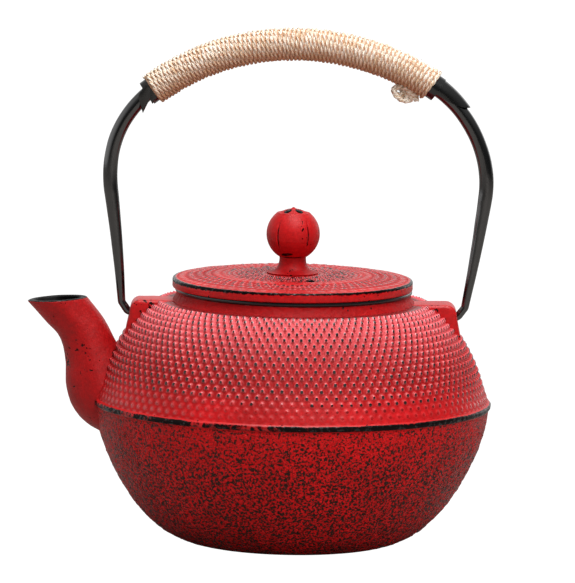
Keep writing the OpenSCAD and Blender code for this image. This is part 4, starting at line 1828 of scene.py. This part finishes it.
    def build(self) -> tuple[Piece, Piece]:
        """Makes the bar and the sleeve.

        Returns:
            Bar and sleeve.
        """
        gloss = BlackIron("gloss black steel", 0.12, paint(4, 4, 5), 2.5 * MM, 1.9).material()
        bar = MeshMaker("bail_bar").add(self.bar()).build([gloss], 50.0)
        satin = BlackIron("black sheet steel", 0.2, paint(6, 6, 6), index=1.6).material()
        maker = MeshMaker("sleeve_sheet").add(self.sleeve()).add(self.loose_end())
        for first, second in self.tongues:
            maker.add(self.tongue(first, second))
        sleeve = maker.build([satin], 40.0)
        return bar, sleeve


@dataclass
class Binding:
    """Two-ply twine wound round the sleeve, and the loop in which it ends."""

    turns: int = 70
    ends: tuple = (-35.9, 33.2)
    twine_d: float = 1.7 * MM
    ply_r: float = 0.52 * MM
    ply_offset: float = 0.42 * MM
    lay: float = 6.6 * MM
    sunk: float = 0.1 * MM
    uneven_h: float = 0.24 * MM
    ground_h: float = 0.95 * MM
    ground_rows: int = 80
    ground_sides: int = 32
    samples: int = 44
    sides: int = 6
    loop_samples: int = 420
    loop_angle: float = 27.8
    loop_r: float = 2.9 * MM
    loop_straight: float = 5.0 * MM
    loop_turns: float = 3.35
    loop_shift: float = 2.4 * MM
    loop_ply_r: float = 0.75 * MM
    loop_ply_offset: float = 0.55 * MM
    loop_lay: float = 5.0 * MM

    def _plies(self, line: Array, outward: Array, ply_r: float, offset: float, lay: float,
               under: Array | float = 0.0) -> list[Patch]:
        """Two strands that twist about a line.

        Args:
            line: Centre line of the twine.
            outward: A direction near square to the line at each point.
            ply_r: Radius of a strand.
            offset: Distance of a strand's centre from the line.
            lay: Length of one full twist.
            under: How far each point of the line lies towards the underside, 0 to 1, for the painted shade.

        Returns:
            A closed patch for each strand.
        """
        tangent = np.gradient(line, axis=0)
        step = np.linalg.norm(tangent, axis=1)
        tangent /= step[:, None]
        first = outward - np.sum(outward * tangent, axis=1, keepdims=True) * tangent
        first /= np.linalg.norm(first, axis=1, keepdims=True)
        second = np.cross(tangent, first)
        walked = np.cumsum(step)
        patches = []
        for phase in (0.0, math.pi):
            twist = phase - TAU * walked / lay
            arm = np.cos(twist)[:, None] * first + np.sin(twist)[:, None] * second
            centre = line + offset * arm
            radius = ply_r * (1 + 0.2 * noise(centre, 1.2 * MM, 61) + 0.1 * noise(centre, 4 * MM, 62))
            grid = sweep(centre, arm, radius, self.sides)
            along = np.concatenate([[0], walked, walked[-1:]]) / MM
            uv = np.stack(np.broadcast_arrays(np.linspace(0, 1, self.sides + 1)[None, :], along[:, None]), -1)
            shade = np.broadcast_to(under, len(line))
            shade = np.concatenate([shade[:1], shade, shade[-1:]])[:, None] * np.ones((1, self.sides))
            patches.append(Patch(capped(grid, centre[[0, -1]]), uv, {"under": shade}))
        return patches

    def winding(self, bail: Bail) -> Piece:
        """The winding: a helix on the grip's arc, a little uneven in pitch and height.

        Args:
            bail: The bail that carries it.

        Returns:
            The winding.
        """
        count = self.turns * self.samples
        t = np.linspace(0, 1, count)
        turn = TAU * self.turns * t
        start, end = np.radians(self.ends)
        uneven = np.cumsum(hashed(np.arange(count // self.samples + 2)[:, None], 71) - 0.5)
        drift = np.interp(t * self.turns, np.arange(len(uneven)), uneven) * 0.2
        angle = start + (end - start) * (t + np.clip(drift, -0.6, 0.6) * np.sin(math.pi * t) / self.turns)
        centre, outward, _ = bail.arc_frame(angle)
        arm = np.cos(turn)[:, None] * outward + np.sin(turn)[:, None] * SIDEWAYS
        steps = np.arange(2 * len(uneven))
        rough = np.interp(t * self.turns * 1.7, steps, hashed(steps[:, None], 72))
        reach = bail.sleeve_d / 2 + self.twine_d / 2 - self.sunk + self.uneven_h * rough
        maker = MeshMaker("grip_twine")
        # Painted shade, strongest on the underside of each turn.
        under = 0.5 - 0.5 * np.cos(turn)
        line = centre + arm * reach[:, None]
        for patch in self._plies(line, arm, self.ply_r, self.ply_offset, self.lay, under):
            maker.add(patch)
        return maker.add(self._ground(bail)).build([Twine().material()])

    def _ground(self, bail: Bail) -> Patch:
        """First layer of twine under the turns, as a tube that closes the gaps between them.

        Args:
            bail: The bail that carries it.

        Returns:
            The closed patch.
        """
        centre, outward, _ = bail.arc_frame(np.linspace(*np.radians(self.ends), self.ground_rows))
        radius = np.full(len(centre), bail.sleeve_d / 2 + self.ground_h)
        tube = capped(sweep(centre, outward, radius, self.ground_sides), centre[[0, -1]])
        # Painted shade on the ground between the turns, strongest underneath.
        under = 1.0 - 0.3 * np.cos(np.arange(self.ground_sides) * TAU / self.ground_sides)
        return Patch(tube, None, {"under": np.broadcast_to(under, tube.shape[:2])})

    def loop(self, bail: Bail) -> Piece:
        """The end loop: the twine doubled into a flat eye that lies against the underside of the grip.

        Args:
            bail: The bail that carries it.

        Returns:
            The loop.
        """
        angle = np.array([math.radians(self.loop_angle)])
        centre, outward, heading = (v[0] for v in bail.arc_frame(angle))
        middle = centre - (bail.sleeve_d / 2 + self.twine_d + self.loop_r - 0.8 * MM) * outward
        w = np.linspace(0, self.loop_turns * TAU, self.loop_samples)
        share = w / w[-1]
        wide = (self.loop_r + self.loop_straight / 2) * (1.0 - 0.7 * share)
        tall = self.loop_r * (1.0 - 0.55 * share)
        lean = 0.9 * MM * np.sin(2.3 * w + 0.4) + self.loop_shift * (share - 0.5)
        line = (middle + (wide * np.cos(w) + (2.4 - 3.6 * share) * MM)[:, None] * heading
                + (tall * np.sin(w))[:, None] * outward + lean[:, None] * SIDEWAYS)
        out = np.cos(w)[:, None] * heading + np.sin(w)[:, None] * outward
        maker = MeshMaker("grip_twine_loop")
        # Painted shade on the loop, varying round it.
        under = 0.35 + 0.2 * np.sin(w)
        for patch in self._plies(line, out, self.loop_ply_r, self.loop_ply_offset, self.loop_lay, under):
            maker.add(patch)
        return maker.build([Twine("natural twine, loop").material()])


# ------------------------------ strainer


@dataclass
class Strainer:
    """Steel basket: rolled rim, perforated wall and perforated floor."""

    rim_r: float = 46.3 * MM
    wall_r: float = 40.8 * MM
    top_z: float = 104.5 * MM
    depth: float = 52.0 * MM
    sheet: float = 0.8 * MM
    thin: float = 0.4 * MM
    rim_columns: int = 192
    columns: int = 72
    wall_rows: int = 14
    floor_cells: int = 22
    hole: float = 0.62

    def rim(self) -> Piece:
        """Flat ring with a rolled outer edge, revolved.

        Returns:
            The ring.
        """
        z, t = self.top_z, self.sheet
        a = np.linspace(-math.pi / 2, math.pi / 2, 8)
        roll = np.stack([self.rim_r - t / 2 + t / 2 * np.cos(a), z + t / 2 + t / 2 * np.sin(a)], 1)
        inner = self.wall_r - t
        lip = [[inner + 1.2 * MM, z + t], [inner, z + t * 0.8], [inner, z]]
        outline = np.concatenate([[[inner, z]], roll, lip])
        ring = Patch(revolve(outline, self.rim_columns))
        return MeshMaker("strainer_rim").add(ring).build([Stainless().material()], 50.0)

    def _sheet(self, name: str, corner: Callable[[Array, Array], Array], rows: int, columns: int) -> Piece:
        """Perforated sheet: each cell of a grid is a square with a round hole, made of eight quads.

        Args:
            name: Name of the piece.
            corner: Function from grid coordinates (row, column) to points on the sheet.
            rows: Cells along the sheet.
            columns: Cells round it.

        Returns:
            The sheet, thickened.
        """
        w = np.arange(8) * TAU / 8
        square = np.stack([np.clip(1.42 * np.cos(w), -1, 1), np.clip(1.42 * np.sin(w), -1, 1)], 1) / 2
        ring = self.hole / 2 * np.stack([np.cos(w), np.sin(w)], 1)
        r, c = np.meshgrid(np.arange(rows) + 0.5, np.arange(columns) + 0.5, indexing="ij")
        cells = np.stack([r.ravel(), c.ravel()], 1)
        both = np.concatenate([square, ring])[None] + cells[:, None]
        points = corner(both[..., 0], both[..., 1]).reshape(-1, 3)
        k = np.arange(8)
        quad = np.stack([k, (k + 1) % 8, 8 + (k + 1) % 8, 8 + k], 1)
        quads = (quad[None] + (np.arange(len(cells)) * 16)[:, None, None]).reshape(-1, 4)
        mesh = bpy.data.meshes.new(name)
        mesh.from_pydata(points.tolist(), [], quads.tolist())
        work = bmesh.new()
        work.from_mesh(mesh)
        bmesh.ops.remove_doubles(work, verts=work.verts, dist=2e-6)
        bmesh.ops.recalc_face_normals(work, faces=work.faces)
        work.to_mesh(mesh)
        work.free()
        mesh.uv_layers.new(name="surface")
        mesh.polygons.foreach_set("use_smooth", np.ones(len(mesh.polygons), bool))
        made = placed(name, mesh)
        mesh.materials.append(Stainless().material())
        wall = made.modifiers.new("sheet", "SOLIDIFY")
        wall.thickness, wall.offset = self.thin, -1.0
        return made

    def wall(self) -> Piece:
        """Perforated cylinder below the rim.

        Returns:
            The wall.
        """
        low, high = self.top_z - self.depth + self.sheet, self.top_z
        rows = self.wall_rows

        def place(r: Array, c: Array) -> Array:
            """Point on the cylinder at grid coordinates r, c."""
            a, z = c / self.columns * TAU, low + (high - low) * r / rows
            return np.stack([self.wall_r * np.cos(a), self.wall_r * np.sin(a), z], -1)

        return self._sheet("strainer_wall", place, rows, self.columns)

    def floor(self) -> Piece:
        """Perforated disc that closes the basket below.

        Returns:
            The base.
        """
        z = self.top_z - self.depth + self.thin
        cells, edge = self.floor_cells, self.wall_r

        def place(r: Array, c: Array) -> Array:
            """Point on the disc: the unit square mapped to the disc by x' = x sqrt(1 - y^2 / 2).

            Args:
                r: First grid coordinate.
                c: Second grid coordinate.

            Returns:
                The points.
            """
            x, y = 2 * r / cells - 1, 2 * c / cells - 1
            flat = edge * x * np.sqrt(1 - y**2 / 2), edge * y * np.sqrt(1 - x**2 / 2)
            return np.stack([*flat, z + 0 * x], -1)

        return self._sheet("strainer_floor", place, cells, cells)


# ------------------------------ stage


@dataclass
class Stage:
    """White floor and backdrop, lights overhead and the long-lens camera in front of the pot."""

    elevation: float = 7.35
    azimuth: float = 0.0
    roll: float = 1.05
    distance: float = 4.2
    frame_w: int = 575
    frame_h: int = 583
    px: float = 0.4315 * MM
    axis_px: tuple = (291.6, 401.3)
    axis_z: float = 61.0 * MM
    room: float = 0.07
    ceiling: float = 0.6
    backdrop: float = 1.0
    left_panel: float = 1.1
    right_panel: float = 2.0
    floor_tone: Colour = paint(160, 155, 150)
    floor_half: float = 3.0
    floor_glow: float = 1.12
    floor_share: float = 0.97

    def camera(self) -> None:
        """Adds the camera: it looks down by the elevation, is rolled, and centres the pot as framed."""
        data = bpy.data.cameras.new("camera")
        data.sensor_fit = "AUTO"
        data.sensor_width = 36.0
        data.lens = data.sensor_width * self.distance / (self.frame_h * self.px)
        data.clip_end = 20.0
        e, a, roll = (math.radians(v) for v in (self.elevation, self.azimuth, self.roll))
        forward = Vector((math.sin(a) * math.cos(e), math.cos(a) * math.cos(e), -math.sin(e)))
        right = Vector((math.cos(a), -math.sin(a), 0.0))
        up = right.cross(forward)
        tilted_right = math.cos(roll) * right + math.sin(roll) * up
        tilted_up = tilted_right.cross(forward)
        off_x = (self.frame_w / 2 - self.axis_px[0]) * self.px
        off_y = (self.axis_px[1] - self.frame_h / 2) * self.px
        target = Vector((0, 0, self.axis_z)) + off_x * tilted_right + off_y * tilted_up
        view = Matrix((tilted_right, tilted_up, -forward)).transposed().to_4x4()
        view.translation = target - self.distance * forward
        made = placed("camera", data)
        made.matrix_world = view
        bpy.context.scene.camera = made

    def light(self, name: str, place: Sequence[float], aim: Sequence[float], size: float, power: float,
              mirrored: bool = True) -> None:
        """Adds one square soft light.

        Args:
            name: Name of the light.
            place: Where it stands.
            aim: The point it faces.
            size: Side of the square.
            power: Strength in watts.
            mirrored: Whether it shows in glossy surfaces.
        """
        data = bpy.data.lights.new(name, "AREA")
        data.size, data.energy = size, power
        made = placed(name, data)
        made.location = place
        made.visible_glossy = mirrored
        made.rotation_euler = (Vector(aim) - Vector(place)).to_track_quat("-Z", "Y").to_euler()

    def world(self) -> None:
        """Adds a world that the camera sees as white, and the pot as a backdrop and a bright ceiling."""
        world = bpy.data.worlds.new("studio")
        bpy.context.scene.world = world
        world.use_nodes = True
        t = Tree(world.node_tree)
        x, y, z = t.split(t.node("ShaderNodeTexCoord").outputs["Generated"])
        path = t.node("ShaderNodeLightPath").outputs
        ceiling = t.math("ADD", t.ramp(z, 0.15, 0.9, self.ceiling - self.room), self.room)
        behind = t.ramp(y, 0.1, 0.9, self.backdrop)
        left = t.ramp(x, -0.5, -0.95, self.left_panel)
        right = t.times(t.ramp(x, 0.25, 0.5, self.right_panel), t.ramp(y, 0.6, 0.8))
        panels = t.times(t.math("MAXIMUM", left, right), path["Is Glossy Ray"])
        lit = t.math("MAXIMUM", t.math("MAXIMUM", ceiling, behind), panels)
        soft, seen = (t.node("ShaderNodeBackground", Color=(1, 1, 1, 1), Strength=strength).outputs[0]
                      for strength in (lit, 1.0))
        t.node("ShaderNodeOutputWorld", Surface=t.cover(path["Is Camera Ray"], soft, seen))

    def floor(self) -> None:
        """Adds the floor: nearly white to the camera, mid grey to the light that it throws back."""
        g = Graph("pale floor")
        g.set(Base_Color=self.floor_tone, Roughness=0.7)
        glow = g.node("ShaderNodeEmission", Strength=self.floor_glow).outputs[0]
        share = g.times(g.node("ShaderNodeLightPath").outputs["Is Camera Ray"], self.floor_share)
        g.fill(g.output, {"Surface": g.cover(share, g.shader.outputs[0], glow)})
        mesh = bpy.data.meshes.new("floor")
        half = self.floor_half
        corners = [(-half, -half, 0), (half, -half, 0), (half, half, 0), (-half, half, 0)]
        mesh.from_pydata(corners, [], [(0, 1, 2, 3)])
        mesh.materials.append(g.material)
        floor = placed("floor", mesh)

    def build(self) -> None:
        """Sets the colour handling and adds surroundings, lights and camera."""
        bpy.context.scene.view_settings.view_transform = "Standard"
        self.world()
        self.floor()
        middle = (0.0, 0.0, 0.09)
        self.light("key", (0.25, -0.75, 1.25), middle, 0.45, 10.0)
        self.light("fill", (0.6, -1.5, 0.35), middle, 1.0, 8.5, False)
        self.light("top", (0.05, -0.05, 1.4), middle, 0.7, 12.0)
        self.camera()


# ------------------------------ assembly


def keep(piece: Piece, body: str, slot: str, *nodes: str) -> None:
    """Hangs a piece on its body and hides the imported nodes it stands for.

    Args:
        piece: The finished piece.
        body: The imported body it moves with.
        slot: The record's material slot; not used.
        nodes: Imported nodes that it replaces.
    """
    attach(piece, body)
    if nodes:
        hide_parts(*nodes)
    LOG.info("%s: %d points, rides on %s", piece.name, len(piece.data.vertices), body)


def main() -> None:
    logging.basicConfig(level=logging.INFO, format="%(name)s %(message)s")
    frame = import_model()
    Stage().build()
    core, *skins = Pot().build()
    keep(core, "pot", "red_iron", "pot_body")
    keep(Spout().build(), "pot", "red_iron", "spout")
    for piece in [*skins, Lugs().build()]:
        keep(piece, "pot", "red_iron")
    keep(Lid().build(), "cover", "red_iron", "lid")
    ball, stem = Knob().build()
    keep(ball, "cover", "red_iron", "knob")
    keep(stem, "cover", "red_iron")
    bail = Bail()
    bar, sleeve = bail.build()
    keep(bar, "handle", "black_steel", "bail")
    keep(sleeve, "handle", "black_steel", "grip_sleeve")
    binding = Binding()
    keep(binding.winding(bail), "handle", "twine", "grip_binding")
    keep(binding.loop(bail), "handle", "twine", "binding_loop")
    strainer = Strainer()
    keep(strainer.rim(), "strainer", "stainless", "infuser_rim")
    keep(strainer.wall(), "strainer", "stainless", "infuser_wall")
    keep(strainer.floor(), "strainer", "stainless", "infuser_base")
    steel = Stainless("satin stainless, fastening").material()
    for name in ("knob_washer", "knob_screw"):
        node = frame["nodes"][name]
        node.data.materials.clear()
        node.data.materials.append(steel)


if __name__ == "__main__":
    main()
